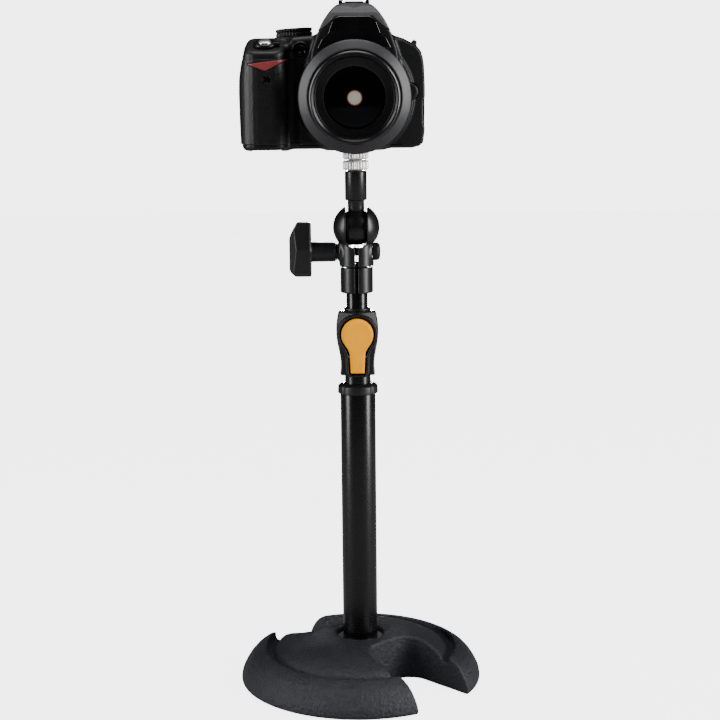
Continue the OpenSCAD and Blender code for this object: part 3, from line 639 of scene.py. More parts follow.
screw = [(0, -34)]
for k in range(24):
    screw += [(2.6, -33.6 + k), (3.0, -33.1 + k)]
screw += [(3.0, -9.2), (3.0, 13.0), (2.5, 13.4), (0, 13.4)]
washer = soften([(3.05, -14.5), (6.1, -14.5), (6.1, -13.6), (5.3, -13.5), (5.3, -13.3),
                 (6.1, -13.2), (6.1, -12.3), (3.05, -12.3)], 0.12)
parts = [lathe(screw, 36, closed=False, axis="x", origin=(0, 0, SCREW_Z)),
         lathe(washer, 48, axis="x", origin=(0, 0, SCREW_Z))]
v, f = join_parts(parts)
place("clamp_bolt", v, f, "knob", "steel_dark", ["clamp_screw"], sharp=35)

KNOB = [(-31.8, -16.9), (-31.8, 20.0), (-32.6, 21.0), (-41.2, 21.0), (-42.3, 19.9),
        (-45.6, 14.0), (-46.9, 10.9), (-47.3, 8.8), (-47.3, -12.2), (-46.6, -13.9),
        (-43.3, -17.4), (-42.6, -17.6), (-32.6, -17.6)]


def knob_field(x, y, z):
    q = z - SCREW_Z
    outline = poly2(x, q, KNOB)
    # the two wings fall back from a ridge across the middle
    wing = np.where(q > 2.2, (q - 2.2) * 0.15, (2.2 - q) * 0.12)
    front = np.abs(y) - 7.8 + wing
    bar = smax(outline, front, 1.3)
    cheek = (np.abs(y) + wing - 7.6) * 0.62 + (-42.2 - x - 0.12 * np.abs(q - 2.2)) * 0.78
    bar = smax(bar, cheek, 0.5)
    foot = (np.abs(y) - 5.6) * 0.6 + (-14.0 - q) * 0.8
    bar = smax(bar, foot, 0.5)
    r = np.hypot(y, q)
    hub = ext(r - 6.85 - 0.012 * (-14.4 - x), x, -33, -14.6, 0.7)
    return smin(bar, hub, 0.8)


v, f = sdf_mesh(knob_field, (-47.6, -8, SCREW_Z - 18.0), (-14.2, 8, SCREW_Z + 21.4), 0.5 * FINE)
place("t_handle", v, f, "knob", "plastic_black", ["clamp_knob"])

prof = [(0, -12.2), (3.9, -12.2)]
prof += [(12.8 * math.cos(a), 12.8 * math.sin(a)) for a in np.linspace(-1.25, 1.11, 30)]
prof += [(5.8, 12.4), (5.8, 18.4), (6.1, 18.9), (7.2, 19.1), (7.65, 19.7), (7.65, 38.7),
         (6.9, 39.5), (5.0, 39.5)]
for k in range(7):
    prof += [(5.0, 40.2 + k * 1.4), (4.5, 40.9 + k * 1.4)]
prof += [(0, 50.6)]
v, f = lathe([(r, z + BALL_Z) for r, z in prof], 96, closed=False)
place("ball_post", v, f, "ball", "steel_dark", ["ball_stud"], sharp=40)


KNURLS = 22


def knurl_ring(name, body, z0, h, bore_h, node, screw_h=0.0):
    rows = [(5.06, 0.0), (7.6, 0.0), (8.3, 0.5), (8.9, 1.0), (9.0, 1.4), (9.0, h - 1.4),
            (8.9, h - 1.0), (8.3, h - 0.5), (7.6, h)]
    if bore_h >= h:
        rows += [(5.06, h)]
    else:
        rows += [(4.6, h), (3.1, h), (3.05, h + 0.4)]
        k = 0
        while h + 0.8 + k * 0.65 < h + screw_h:
            rows += [(2.65, h + 0.75 + k * 0.65), (3.05, h + 1.05 + k * 0.65)]
            k += 1
        rows += [(2.2, h + screw_h), (0, h + screw_h), (0, bore_h), (5.06, bore_h)]
    deep = [0, 0, 0.15, 0.8, 1, 1, 0.8, 0.15, 0] + [0] * 40

    def wave(a, i):
        return -0.62 * deep[i] * rib(a, KNURLS) ** 2.2

    v_, f_ = lathe([(r, z + z0) for r, z in rows], KNURLS * 10, wave=wave)
    place(name, v_, f_, body, "nickel", [node], sharp=50)


knurl_ring("locking_ring", "ring", 371.0, 6.8, 9, "lock_ring")
knurl_ring("adapter_ring", "adapter", 378.5, 7.5, 4.3, "screw_adapter", 5.0)

# ------------------------------------------------------------------ camera body

CAM = np.array((0.0, 0.0, LENS_AXIS_Z - 36.0))
LENS_H = 36.0
BODY = 0.8 * 0.8
SEAM_Y, SEAM_Z = -3.0, 62.0
FLOOR_Z = 3.1
DECK = (-60.5, -20.0, 70.0)
TILT = math.radians(20)
DIAL = (-41.4, 4.0, 76.4)
RELEASE = (37.5, 38.5)
LAMP = (-36.6, 66.9)
SELECTOR = (-52.0, 40.0)
REMOTE_EYE = (-59.3, 47.2)
THUMB_WHEEL = (-60, 17.5)
MONITOR = (3.5, 31.5)
FINDER_Z = 83.5
KEY_X = 42
KEY_ROWS = (("play", 51), ("menu", 41), ("zoom", 31))
PORTS_AT = (50, 6.5, 32)
HATCH_AT = (-60.75, -13)
LUGS = ((-71.8, 70.6), (41.0, 71.4))

OUTLINE = [(-75.8, 3.0), (-73.8, 0.8), (-71.0, 0.0), (38.5, 0.2), (43.9, 1.4), (46.6, 3.6),
           (47.7, 11.0), (48.0, 26.0), (48.0, 42.0), (47.4, 56.0), (46.6, 61.5), (45.3, 65.6),
           (42.6, 69.0), (38.0, 71.8), (33.5, 74.2), (29.0, 75.7), (24.0, 76.4), (-26.0, 77.0),
           (-40.0, 76.0), (-54.0, 74.6), (-61.0, 73.6), (-66.0, 72.2), (-69.8, 69.9),
           (-72.6, 66.5), (-74.4, 62.5), (-75.7, 57.0), (-76.8, 49.0), (-77.3, 38.0),
           (-76.8, 18.0)]
HUMP_FRONT = [(-31, 50), (31, 50), (29.0, 66), (26.0, 75), (24.2, 79.5), (20.9, 86), (17.0, 91.6),
              (14.0, 95.0), (11.6, 97.0), (7.0, 98.1), (0, 98.6), (-7.0, 98.1), (-11.6, 97.0),
              (-14.0, 95.0), (-17.0, 91.6), (-20.9, 86), (-24.2, 79.5), (-26.0, 75), (-29.0, 66)]
HUMP_SIDE = [(-31, 50), (24, 50), (24.4, 76), (23.6, 84), (21.6, 91), (19.0, 96.4), (16, 98.0),
             (0, 98.6), (-14, 99.2), (-22, 98.2), (-28.0, 95.2), (-31.4, 91.0), (-33.2, 86.5),
             (-34.0, 79.0), (-33.2, 70.0)]
GRIP_PLAN = hull2([(-65.1, -21.5, 12.2), (-55.9, -24.0, 9.8), (-67.1, -12, 10.2),
                   (-56.1, -12, 10.2)], 24)


def deck_plane(y, z):
    return -(y - DECK[1]) * math.sin(TILT) + (z - DECK[2]) * math.cos(TILT)


def lens_ring(x, z):
    return np.hypot(x, z - LENS_H)


def body_field(x, y, z):
    """The closed outside shape of the camera body."""
    outline = poly2(x, z, OUTLINE)
    d = ext(outline, y, -19.0, 25.0, 5.0)
    # the front face falls back a little towards its +x edge
    d = np.maximum(d, (-19.0 + 0.0016 * np.maximum(x - 12, 0) ** 2) - y)
    # thumb rest on the back
    thumb = rbox(x, y, z, (-60, 20, 58), (15, 8.4, 13), 6.0)
    d = smin(d, np.maximum(thumb, outline + 0.3), 4.0)
    grip = poly2(x, y, GRIP_PLAN)
    lean = 0.0006 * np.clip(z - 30, 0, 60) ** 2
    grip = ext(grip + lean, z, 0.2, 80, 2.5)
    grip = smax(grip, np.abs(x + 20) - 57.4 + 0.0045 * np.clip(z - 44, 0, 30) ** 2, 3.0)
    d = smin(d, grip, 5.0)
    # finger recess beside the grip
    hollow = rbox(x, y, z, (-43.0, -26, 28), (3.4, 8.0, 36), 3.2)
    d = smax(d, -hollow, 3.0)
    cut = smax(-deck_plane(y, z), x + 43.5 + 0.05 * (z - 66), 4.0)
    d = smax(d, -cut, 3.0)
    bump = ext(np.hypot(x - DIAL[0], y - DIAL[1]) - 13.4, z, 60, 75.6, 1.2)
    d = smin(d, bump, 3.0)
    r = lens_ring(x, z)
    plinth = ext(r - 40.3, y, -22.6, -10, 1.6)
    plinth = smax(plinth, 0.4 - z, 1.5)
    d = smin(d, plinth, 1.5)
    cone = np.maximum(r - 33.2 - 0.42 * (y + 31.5), np.maximum(-31.3 - y, y + 10))
    d = smin(d, cone, 2.2)
    hump = smax(poly2(x, z, HUMP_FRONT), poly2(y, z, HUMP_SIDE), 2.4)
    d = smin(d, hump, 3.2)
    scoop = rbox(x, y, z, (49.4, -13.5, 24.5), (2.6, 5.5, 9.5), 2.4)
    d = smax(d, -scoop, 1.6)
    lug = rbox(x, y, z, (-72.2, 2, 69.7), (1.6, 4.2, 1.8), 1.2)
    lug = np.minimum(lug, rbox(x, y, z, (41.2, 2, 71.2), (1.8, 4.2, 1.8), 1.2))
    return smin(d, lug, 1.5)


LID = [(-24.9, 78.4), (-19.6, 82.2), (-15.6, 85.5), (-14.2, 87.3), (-12.8, 88.5), (-11.2, 88.9)]
LID_POLY = ([(-45, 130), (-45, 78.4)] + LID + [(-x, z) for x, z in LID[::-1]]
            + [(45, 78.4), (45, 130)])
BADGE_SIDE = [(24.9, 67.5), (21.7, 73.7), (17.3, 78.0), (16.1, 81.7), (14.8, 84.9), (12.6, 87.5),
              (10.4, 88.9)]
BADGE = BADGE_SIDE + [(-x, z) for x, z in BADGE_SIDE[::-1]]
ACCENT = [(-72.2, 57.8), (-60.6, 53.4), (-59.2, 53.4), (-44.4, 61.0), (-59.6, 59.3)]


def lid_field(x, y, z, grow=0.0):
    """Negative in the space that the flash lid fills."""
    return np.maximum(poly2(x, z, LID_POLY) - grow, y + 4.0 - grow)


def chamber_field(x, y, z):
    """Rooms for the moving and working parts inside."""
    d = rbox(x, y, z, (0, -2.5, 33.5), (19.6, 30.0, 18.3), 1.0)
    d = np.minimum(d, rbox(x, y, z, (0, 0, 68), (15.6, 14, 16.3), 1.0))
    d = np.minimum(d, rbox(x, y, z, (-61, -20, 26), (9.6, 7.4, 33), 0.5))
    return d


def release_hole(x, y, z):
    return cyl(x, y, z, (RELEASE[0], -18, RELEASE[1]), 6.0, 12, 0.2, 1)


def skin_area(x, y, z):
    side = smax(x + 46.3, y + 9.6, 2.0)
    return smax(side, smax(z - 61.0, 4.0 - z, 1.5), 1.5)


def skin_rise(z, least):
    """How far the grip's rubber stands out: most at the bottom."""
    return least + 0.9 * np.clip((61.5 - z) / 14, 0, 1)


def wheel_disc(x, y):
    return np.hypot(x - THUMB_WHEEL[0], y - THUMB_WHEEL[1])


def shaped(zone):
    def fn(x, y, z):
        return zone(x, y, z, body_field(x, y, z))
    return fn


def front_zone(x, y, z, m):
    d = smax(m, np.maximum(np.maximum(y - SEAM_Y, z - SEAM_Z), FLOOR_Z - z), 0.1)
    d = np.maximum(d, -chamber_field(x, y, z))
    d = np.maximum(d, -release_hole(x, y, z))
    d = np.maximum(d, -(lens_ring(x, z) - 22.5))
    panel = np.abs(poly2(x, z, [(-45.2, 5.2), (-27.0, 5.2), (-27.0, 58.5), (-45.2, 58.5)]))
    groove = np.maximum(panel - 0.22, np.abs(m) - 0.35)
    return smax(d, -groove, 0.3)


def top_zone(x, y, z, m):
    d = np.maximum(m, SEAM_Z + 0.06 - z)
    d = smax(d, -lid_field(x, y, z, 0.3), 0.35)
    d = np.maximum(d, -chamber_field(x, y, z))
    lamp = np.hypot(x - LAMP[0], z - LAMP[1])
    d = smax(d, -np.maximum(lamp - 4.8, y + 15.5), 0.5)
    d = smin(d, np.maximum(np.abs(lamp - 5.2) - 0.35, np.abs(y + 16.8) - 2.9), 0.4)
    hole = np.hypot(x - DECK[0], (y - DECK[1]) * math.cos(TILT) + (z - DECK[2]) * math.sin(TILT))
    d = smax(d, -np.maximum(hole - 4.95, -deck_plane(y, z) - 7), 0.4)
    d = np.maximum(d, -(np.hypot(x - DIAL[0], y - DIAL[1]) - 4.4 + 100 * (z < 62.5)))
    d = smax(d, -np.maximum(wheel_disc(x, y) - 9.5, z - 64.4), 0.4)
    eye = rbox(x, y, z, (0, 24, FINDER_Z), (12.4, 6, 6.2), 1.5)
    return smax(d, -eye, 0.5)


def rear_zone(x, y, z, m):
    d = smax(m, np.maximum(np.maximum(SEAM_Y + 0.25 - y, z - SEAM_Z), FLOOR_Z - z), 0.5)
    d = np.maximum(d, -chamber_field(x, y, z))
    d = smin(d, rbox(x, y, z, (MONITOR[0], 25.0, MONITOR[1]), (35.6, 1.3, 27.6), 1.2), 1.2)
    d = smax(d, -rbox(x, y, z, (MONITOR[0], 27, MONITOR[1]), (33.3, 3.2, 25.3), 0.6), 0.4)
    for _, h in KEY_ROWS:
        d = smax(d, -cyl(x, y, z, (KEY_X, 25, h), 3.45, 5, 0.1, 1), 0.5)
    d = smax(d, -cyl(x, y, z, (SELECTOR[0], 25, SELECTOR[1]), 10.3, 4.2, 0.2, 1), 0.6)
    d = smin(d, smax(cyl(x, y, z, (SELECTOR[0], 24.6, SELECTOR[1]), 12.0, 1.2, 0.6, 1),
                     10.5 - np.hypot(x - SELECTOR[0], z - SELECTOR[1]), 0.5), 0.5)
    d = smax(d, -np.maximum(wheel_disc(x, y) - 9.5, 59.8 - z), 0.4)
    d = smax(d, -rbox(x, y, z, PORTS_AT, (4.6, 9.0, 21.4), 2.0), 0.3)
    for h in (20, 30, 40):
        d = smax(d, -rbox(x, y, z, (45.4, 6.5, h), (3.0, 5.4, 3.1), 1.0), 0.4)
    return d


def bottom_zone(x, y, z, m):
    d = np.maximum(m, z - 3.0)
    d = np.maximum(d, -(np.hypot(x, y) - 6.05))
    return smax(d, -rbox(x, y, z, (*HATCH_AT, 1), (10.05, 14.3, 6), 1.0), 0.3)


def lid_zone(x, y, z, m):
    d = smax(m, lid_field(x, y, z), 0.5)
    inner = np.maximum(m + 2.2, np.maximum(y + 9, -y - 30.0))
    d = np.maximum(d, -np.maximum(inner, z - 95.5))
    # a shallow facet in a V over the middle of the front
    facet = (z - 93.6) * 0.93 + (-y - 30) * 0.37 - np.abs(x) * 0.17
    return smax(d, facet, 0.3)


def skin_zone(x, y, z, m):
    d = smax(m - skin_rise(z, 0.15), skin_area(x, y, z), 0.6)
    d = np.maximum(d, -(m + 0.5))
    acc = poly2(x, z, ACCENT)
    d = smax(d, -np.maximum(acc - 0.15, y + 20), 0.3)
    eye = np.hypot(x - REMOTE_EYE[0], z - REMOTE_EYE[1])
    return smax(d, -np.maximum(eye - 2.75, y + 20), 0.35)


def accent_zone(x, y, z, m):
    d = smax(m - skin_rise(z, 0.45), np.maximum(poly2(x, z, ACCENT), y + 18), 0.3)
    return np.maximum(d, -(m + 0.3))


def badge_zone(x, y, z, m):
    d = smax(m - 0.75, np.maximum(poly2(x, z, BADGE), y + 20), 0.7)
    return np.maximum(d, -(m + 0.4))


def crisp(v, axis, level, reach):
    """Pull the vertices along a straight joint onto both the joint plane and the skin."""
    m = body_field(*v.T)
    near = (np.abs(v[:, axis] - level) < reach) & (np.abs(m) < reach)
    p = v[near]
    p[:, axis] = level
    others = [a for a in range(3) if a != axis]
    for _ in range(4):
        m = body_field(*p.T)
        g = np.zeros_like(p)
        for a in others:
            q = p.copy()
            q[:, a] += 0.05
            g[:, a] = (body_field(*q.T) - m) / 0.05
        size = np.maximum((g ** 2).sum(axis=1), 0.2)
        p -= np.clip(m / size, -0.4, 0.4)[:, None] * g
    v[near] = p
    return v


def cam_piece(name, zone, lo, hi, h, body, slot, nodes, joints=(), **k):
    v_, f_ = sdf_mesh(shaped(zone), lo, hi, h)
    for axis, level in joints:
        v_ = crisp(np.array(v_), axis, level, 0.7 * h)
    place(name, v_ + CAM, f_, body, slot, nodes, **k)


cam_piece("body_front", front_zone, (-80, -35, 2.8), (50, -2.6, 62.3), BODY, "camera",
          "camera_black", ["front_cover"], joints=((2, SEAM_Z), (2, FLOOR_Z)), sharp=50)
cam_piece("body_top", top_zone, (-80, -36, 61.9), (50, 29, 100), BODY, "camera", "camera_black",
          ["top_cover"], joints=((2, SEAM_Z + 0.06),), sharp=50)
cam_piece("body_back", rear_zone, (-80, -3, 2.8), (50, 29, 62.3), BODY, "camera",
          "camera_black", ["rear_cover"])
cam_piece("body_base", bottom_zone, (-80, -35, 0), (50, 26, 3.2), BODY, "camera",
          "camera_black", ["bottom_cover"], joints=((2, 3.0),), sharp=50)
cam_piece("flash_lid", lid_zone, (-27, -36, 77.5), (27, -3, 100.5), 0.5 * FINE, "flash",
          "flash_grey", ["flash_head"])
cam_piece("grip_cover", skin_zone, (-80.5, -36, 3), (-46, -8, 62), 0.6 * FINE, "camera",
          "grip_rubber", ["grip_skin"])
cam_piece("grip_stripe", accent_zone, (-74, -36, 52), (-45, -17, 61.5), 0.4 * FINE, "camera",
          "accent_red", ["grip_accent"])
cam_piece("badge_panel", badge_zone, (-27, -37, 65.5), (27, -19, 89.5), 0.45 * FINE, "camera",
          "window_black", ["hood_badge"])


def cam_lathe(name, profile, body, slot, nodes, pos=(0, 0, 0), axis="z", segs=72, wave=None,
              closed=True, rot=None, **k):
    v_, f_ = lathe(profile, segs, wave=wave, closed=closed, axis=axis)
    if rot is not None:
        v_ = v_ @ np.array(Matrix.Rotation(rot[0], 3, rot[1])).T
    place(name, v_ + pos + CAM, f_, body, slot, nodes, **k)


def facing(profile, segs, x, z):
    """A shape turned about a line from front to back. Its points are (radius, y)."""
    v_, f_ = lathe([(r, -h) for r, h in profile], segs, axis="-y")
    return v_ + (x, 0, z) + CAM, [q[::-1] for q in f_]


# front windows: the assist lamp behind its lens, and the remote receiver in the grip
lamp = soften([(0, -17.9), (2.2, -17.7), (2.7, -17.2), (3.0, -18.5), (3.6, -18.8), (4.1, -18.3),
               (4.2, -15.6), (0, -15.6)], 0.2)
eye = soften([(0, -35.0), (2.6, -35.0), (2.6, -31), (0, -31)], 0.4)
v, f = join_parts([facing(lamp, 48, *LAMP), facing(eye, 40, *REMOTE_EYE)])
place("front_lamps", v, f, "camera", "window_black", ["front_windows"], sharp=50)

# shutter release, power switch, dials
button = soften([(0, 4.0), (3.3, 3.8), (4.3, 3.3), (4.75, 2.4), (4.75, -5), (0, -5)], 0.35)
cam_lathe("release_button", button, "shutter", "silver", ["shutter_button"], pos=DECK,
          rot=(TILT, "X"), sharp=50)


def switch_wave(a, i):
    return -0.25 * rib(a, 36) ** 2 if 2 <= i <= 9 else 0.0


switch = soften([(4.95, 0.35), (7.9, 0.35), (8.0, 1.6), (7.2, 2.6), (6.0, 2.9), (4.95, 2.9)], 0.35)


def lever_field(x, y, z):
    return rbox(x, y, z, (7.7, -1.2, 1.8), (2.6, 1.9, 1.3), 0.9)


lever = sdf_mesh(lever_field, (4.5, -3.6, 0), (10.6, 1.2, 3.4), 0.3)
v, f = join_parts([lathe(switch, 144, wave=switch_wave), lever])
v = np.array(v) @ np.array(Matrix.Rotation(TILT, 3, "X")).T + DECK + CAM
place("power_ring", v, f, "power", "camera_black", ["power_switch"], sharp=50,
      mat=MATS["gloss_black"])

DIAL_RIBS = 36
dial_rows = [(0, 5.4), (9.6, 5.4), (10.0, 5.6), (10.6, 5.6), (12.4, 5.3), (12.7, 4.6),
             (12.6, 3.6), (12.0, 3.0), (11.9, 2.85), (12.0, 2.7), (12.6, 2.1), (12.7, 1.2),
             (12.5, 0.2), (11.2, -0.1), (4.0, -0.1), (4.0, -7), (0, -7)]
dial_deep = [0, 0, 0, 0, .6, 1, .9, .2, 0, .2, .9, 1, .6, 0, 0, 0, 0]
cam_lathe("program_dial", dial_rows, "mode", "camera_black", ["mode_dial"], pos=DIAL,
          segs=DIAL_RIBS * 8,
          closed=False, rot=(math.radians(-3.5), "Y"), sharp=45,
          wave=lambda a, i: -0.55 * dial_deep[i] * rib(a, DIAL_RIBS) ** 2)
WHEEL_RIBS = 30
wheel_rows = soften([(0, 0), (8.2, 0), (9.0, 0.6), (9.0, 3.0), (8.2, 3.6), (0, 3.6)], 0.3, 2)
cam_lathe("thumb_wheel", wheel_rows, "command", "rubber_black", ["command_dial"],
          pos=(*THUMB_WHEEL, SEAM_Z - 1.6), segs=WHEEL_RIBS * 8, sharp=50,
          wave=lambda a, i: -0.6 * rib(a, WHEEL_RIBS) if 3 <= i <= 14 else 0.0)


def plain(name, fn, lo, hi, h, body, slot, nodes, **k):
    v_, f_ = sdf_mesh(fn, lo, hi, h)
    place(name, v_ + CAM, f_, body, slot, nodes, **k)


def shoe_field(x, y, z):
    base_ = rbox(x, y, z, (0, 9.5, 98.6), (10.6, 8.6, 0.6), 0.25)
    rail = rbox(np.abs(x), y, z, (9.3, 9.5, 99.2), (1.3, 8.6, 1.55), 0.3)
    lip = rbox(np.abs(x), y, z, (8.9, 9.5, 100.45), (1.65, 8.4, 0.32), 0.2)
    stop = rbox(x, y, z, (0, 1.4, 99.1), (6.0, 0.6, 0.7), 0.2)
    foot = smin(np.minimum(base_, rail), np.minimum(lip, stop), 0.2)
    contact = cyl(x, y, z, (0, 9.5, 99.3), 1.9, 0.6, 0.2, 2)
    for cx, cy in ((-4, 4.5), (4, 4.5)):
        contact = np.minimum(contact, cyl(x, y, z, (cx, cy, 99.3), 1.1, 0.5, 0.2, 2))
    return np.minimum(foot, contact)


plain("shoe", shoe_field, (-11, 0.5, 97.3), (11, 18.5, 101.3), 0.38, "camera", "shoe_metal",
      ["hot_shoe"], mat=MATS["gloss_black"])


def lugs_field(x, y, z):
    d = None
    for cx, cz in LUGS:
        bar = rbox(x, y, z, (cx, 2, cz + 0.7), (0.7, 3.4, 1.5), 0.6)
        bar = np.maximum(bar, -(np.hypot(y - 2, z - (cz + 0.9)) - 1.1))
        d = bar if d is None else np.minimum(d, bar)
    return d


plain("strap_eyes", lugs_field, (-74, -2, 69), (42.2, 6, 74.2), 0.4, "camera", "zinc",
      ["strap_lugs"])

knob = soften([(0, 27.5), (3.8, 27.5), (5.2, 27.0), (5.65, 26.0), (5.65, 14), (0, 14)], 0.5, 4)
cam_lathe("release_knob", knob, "release", "camera_black", ["lens_release"],
          pos=(RELEASE[0], 0, RELEASE[1]), axis="-y", sharp=60)


def port_field(x, y, z):
    m = body_field(x, y, z)
    slab = rbox(x, y, z, PORTS_AT, (7, 8.5, 21), 2.0)
    d = smax(smax(m, slab, 0.5), -(m + 1.8), 0.3)
    nick = rbox(x, y, z, (49.3, -1.2, 32), (1.4, 1.6, 4.5), 0.8)
    lines = np.abs(z - 32) - 0.2
    d = smax(d, -nick, 0.5)
    return smax(d, -np.maximum(lines, np.abs(m) - 0.3), 0.2)


plain("port_flap", port_field, (43, -2.5, 10.5), (49.5, 15.5, 53.5), 0.5 * FINE, "port_door",
      "rubber_black", ["port_cover"])


def screen_field(x, y, z):
    return rbox(x, y, z, (MONITOR[0], 25.1, MONITOR[1]), (33.0, 1.2, 25.0), 0.7)


plain("monitor_cover", screen_field, (-30, 23.7, 6), (37, 26.5, 57), 0.7, "camera", "screen",
      ["monitor_window"])


def eyecup_field(x, y, z):
    outer = ext(rbox2(x, z, 0, FINDER_Z, 17.4, 8.4, 4.0), y, 24.2, 30.0, 1.6)
    flare = 0.35 * np.clip(y - 24, 0, 6)
    d = smax(outer, -(rbox2(x, z, 0, FINDER_Z, 11.0, 5.0, 1.6) - flare * 0.4), 0.8)
    return smax(d, -np.maximum(np.abs(np.abs(x) - 17.6) - 0.3, np.abs(y - 27) - 1.0), 0.3)


plain("eye_surround", eyecup_field, (-18, 23.8, 74), (18, 30.5, 93), 0.45 * FINE, "camera",
      "rubber_black", ["eyecup"])


def eyeglass_field(x, y, z):
    return rbox(x, y, z, (0, 22.6, FINDER_Z), (11.6, 1.0, 5.6), 0.6)


plain("eyepiece_glass", eyeglass_field, (-12.5, 21, 77), (12.5, 24.5, 90), 0.5, "camera",
      "screen", [])

KEY = soften([(0, 26.0), (2.2, 26.0), (3.1, 25.5), (3.1, 21.6), (0, 21.6)], 0.35)
PAD = soften([(4.6, 25.9), (5.4, 26.2), (8.6, 26.6), (9.8, 26.0), (9.8, 21.6), (4.6, 21.6)], 0.35)
CENTRE = soften([(0, 26.8), (3.2, 26.7), (4.0, 26.2), (4.0, 21.6), (0, 21.6)], 0.3)
REAR_KEYS = [("key_" + label, KEY, 48, KEY_X, h, label + "_key", "button_" + label)
             for label, h in KEY_ROWS]
REAR_KEYS += [("four_way_pad", PAD, 72, *SELECTOR, "selector", "multi_selector"),
              ("centre_key", CENTRE, 48, *SELECTOR, "ok_key", "ok_button")]
for name, profile, segs, x, z, body, node in REAR_KEYS:
    v, f = facing(profile, segs, x, z)
    place(name, v, f, body, "camera_black", [node], sharp=50)


def hatch_field(x, y, z):
    d = rbox(x, y, z, (*HATCH_AT, 1.25), (9.7, 13.9, 1.15), 0.5)
    lines = np.abs(np.abs(y + 20) - 1.2) - 0.25
    shallow = z - 0.3 + 100 * (np.abs(x - HATCH_AT[0]) > 6)
    return smax(d, -np.maximum(lines, shallow), 0.2)


plain("battery_flap", hatch_field, (-71, -27.5, 0), (-50.5, 1.5, 2.6), 0.5, "battery_hatch",
      "camera_black", ["battery_door"])

# ------------------------------------------------------------------ lens


def lens_part(name, profile, body, slot, nodes, segs=144, wave=None, closed=True, **k):
    """Points are (radius, distance in front of the image plane side), front = larger."""
    v_, f_ = lathe(profile, segs, wave=wave, closed=closed, axis="-y")
    place(name, v_ + (0, 0, LENS_H) + CAM, f_, body, slot, nodes, **k)


lens_part("bayonet_ring", soften([(22.4, 31.4), (28.5, 31.4), (28.5, 32.9), (22.4, 32.9)], 0.25),
          "camera", "mount_steel", ["body_mount"], sharp=50)
barrel = soften([(21.6, 33.1), (29.2, 33.1), (31.0, 34.2), (32.6, 36.6), (34.2, 42.0), (34.9, 46.0),
                 (34.6, 47.6), (31.0, 47.6), (31.0, 80.0), (29.3, 80.0), (29.3, 39.0),
                 (21.6, 39.0)], 0.6)
lens_part("rear_barrel", barrel, "camera", "lens_black", ["lens_barrel"], sharp=55)

RIBS = 112
ribbed = [(36.9, 51.2 + k * 2.9) for k in range(9)]
zoom_prof = ([(31.3, 48.4), (35.6, 48.4), (36.3, 48.7), (36.4, 49.6), (36.4, 50.6)] + ribbed
             + [(36.3, 75.2), (36.2, 75.8), (36.2, 78.7), (33.0, 78.7), (31.3, 78.7)])
lens_part("zoom_grip", zoom_prof, "zoom", "ring_rubber", ["zoom_ring"], segs=RIBS * 6, sharp=60,
          wave=lambda a, i: -0.8 * rib(a, RIBS) ** 2 if 5 <= i < 14 else 0.0)
bevel = soften([(31.3, 78.8), (36.2, 78.8), (36.6, 79.1), (36.6, 79.5), (36.1, 80.1),
                (31.2, 83.7), (30.6, 84.0), (30.1, 83.7), (30.1, 81.0), (31.3, 80.6)], 0.12, 2)
lens_part("zoom_bevel", bevel, "zoom", "ring_rubber", [], segs=180, sharp=14,
          mat=MATS["lens_bevel"])
inner = soften([(26.0, 42), (28.8, 42), (28.8, 102.6), (26.0, 102.6)], 0.3)
lens_part("inner_tube", inner, "inner_lens", "lens_black", ["inner_barrel"], sharp=50)

FOCUS_RIBS = 120
focus_prof = [(19.6, 95.0), (25.6, 95.0), (25.6, 103.0), (28.9, 103.0), (29.2, 103.4)]
focus_prof += [(29.3, 104.0 + k * 1.2) for k in range(5)]
focus_prof += [(29.2, 109.6), (29.3, 110.2), (29.0, 111.3), (28.5, 112.0), (28.3, 112.15),
               (27.8, 112.5), (27.5, 112.5), (27.1, 112.5), (26.9, 112.3)]
for k in range(5):
    focus_prof += [(26.9 - 0.12 * k, 111.9 - 0.8 * k), (26.5 - 0.12 * k, 111.5 - 0.8 * k)]
focus_prof += [(25.9, 107.9), (25.8, 107.7), (25.4, 107.7), (25.1, 107.7), (25.0, 107.6),
               (24.9, 107.3), (24.8, 107.0), (24.6, 106.95), (24.0, 106.9), (20.6, 106.5),
               (19.9, 106.4), (19.7, 106.3), (19.6, 106.1), (19.6, 104.3)]


def focus_wave(a, i):
    depth = 0.15 if i == 4 else 0.5
    return -depth * rib(a, FOCUS_RIBS) if 4 <= i < 10 else 0.0


lens_part("focus_grip", focus_prof, "focus", "lens_black", ["focus_ring"], segs=FOCUS_RIBS * 4,
          sharp=20, wave=focus_wave)

RIM = 19.55
glass = [(0, 106.2)] + [(RIM * k / 14, 106.2 - (RIM * k / 14) ** 2 / 150.0) for k in range(1, 15)]
glass += [(RIM, 97.0), (0, 97.0)]
lens_part("front_glass", glass, "focus", "lens_glass", ["front_element"], closed=False,
          sharp=60)

# the carried-over nodes, mostly hidden inside
slots = {s["node"]: s["material_slot"] for s in frame["record"]["subparts"]}
for node, ob in frame["nodes"].items():
    ob.data.materials.clear()
    ob.data.materials.append(MATS[slots[node]])

# ------------------------------------------------------------------ stage, lights, camera

FLOOR_GLOW = 4.3
WORLD_GLOW = 4.6
WORLD_LIGHT = 0.02
VIEW_AT = (0.0017, -1.150, 0.439)
VIEW_PITCH, VIEW_ROLL = math.radians(80.0), math.radians(-0.58)

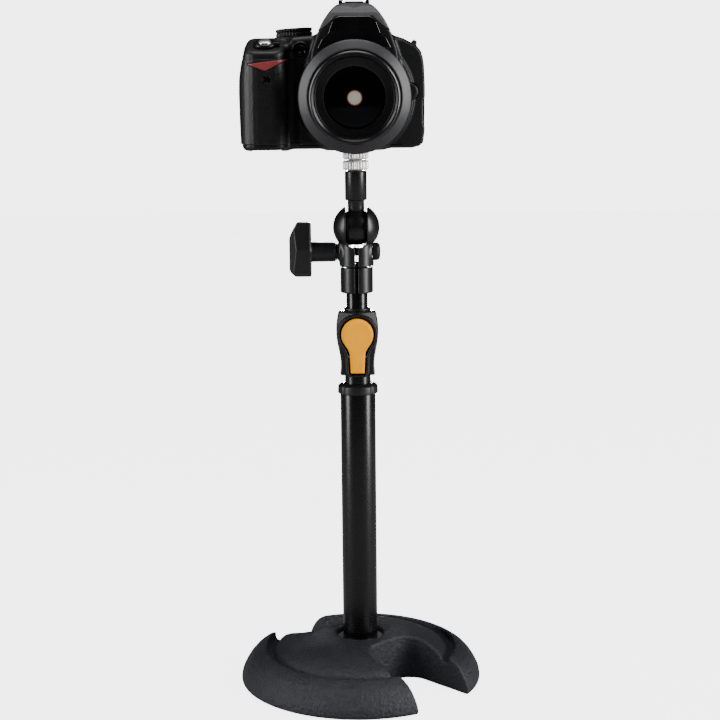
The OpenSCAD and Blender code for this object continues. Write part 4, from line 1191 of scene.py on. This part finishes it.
bpy.ops.mesh.primitive_plane_add(size=8, location=(0, 0, 0))
floor = bpy.context.object
floor.name = "floor"
fm = bpy.data.materials.new("floor_paper")
fm.use_nodes = True
fb = fm.node_tree.nodes["Principled BSDF"]
put(fb, {"Base Color": (0.3, 0.3, 0.3, 1), "Roughness": 0.75, "Emission Color": (1, 1, 1, 1)})
seen = fm.node_tree.nodes.new("ShaderNodeLightPath")
glow = fm.node_tree.nodes.new("ShaderNodeMath")
glow.operation = "MULTIPLY"
glow.inputs[1].default_value = FLOOR_GLOW
fm.node_tree.links.new(seen.outputs["Is Camera Ray"], glow.inputs[0])
fm.node_tree.links.new(glow.outputs[0], fb.inputs["Emission Strength"])
floor.data.materials.append(fm)
floor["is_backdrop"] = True

world = bpy.data.worlds.new("studio")
bpy.context.scene.world = world
world.use_nodes = True
wt = world.node_tree
bg = wt.nodes["Background"]
bg.inputs["Color"].default_value = (1, 1, 1, 1)
path = wt.nodes.new("ShaderNodeLightPath")
level = wt.nodes.new("ShaderNodeMapRange")
put(level, {"To Min": WORLD_LIGHT, "To Max": WORLD_GLOW})
wt.links.new(path.outputs["Is Camera Ray"], level.inputs["Value"])
wt.links.new(level.outputs["Result"], bg.inputs["Strength"])


def lamp_panel(name, at, size, power, aim=(0, 0, 0.25)):
    L = bpy.data.lights.new(name, "AREA")
    L.shape = "RECTANGLE"
    L.size, L.size_y = size
    L.energy = power
    ob = bpy.data.objects.new(name, L)
    bpy.context.scene.collection.objects.link(ob)
    d = Vector(aim) - Vector(at)
    ob.rotation_euler = d.to_track_quat("-Z", "Y").to_euler()
    ob.location = at
    return ob


lamp_panel("softbox_left", (-1.5, -0.55, 0.7), (0.5, 1.6), 28)
lamp_panel("softbox_right", (1.5, -0.55, 0.7), (0.5, 1.6), 45)
lamp_panel("softbox_top", (0, 0.1, 1.9), (1.0, 0.8), 14)
fill = lamp_panel("fill_front", (0, -2.4, 1.0), (1.4, 1.4), 24)
fill.visible_glossy = False
behind = lamp_panel("softbox_back", (-0.015, 1.5, 0.36), (0.1, 0.2), 1.4, aim=(-0.015, 0, 0.44))
behind.data.spread = math.radians(26)

cam_data = bpy.data.cameras.new("view")
cam_data.lens = 82.0
cam_data.sensor_width = 36.0
cam_ob = bpy.data.objects.new("view", cam_data)
bpy.context.scene.collection.objects.link(cam_ob)
cam_ob.matrix_world = (Matrix.Translation(VIEW_AT) @ Matrix.Rotation(VIEW_PITCH, 4, "X")
                       @ Matrix.Rotation(VIEW_ROLL, 4, "Z"))
bpy.context.scene.camera = cam_ob

NEW_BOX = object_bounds()


def plain_numbers(v):
    if hasattr(v, "__len__"):
        return [plain_numbers(a) for a in v]
    return float(v)


{"cad": plain_numbers(CAD_BOX), "visual": plain_numbers(NEW_BOX)}
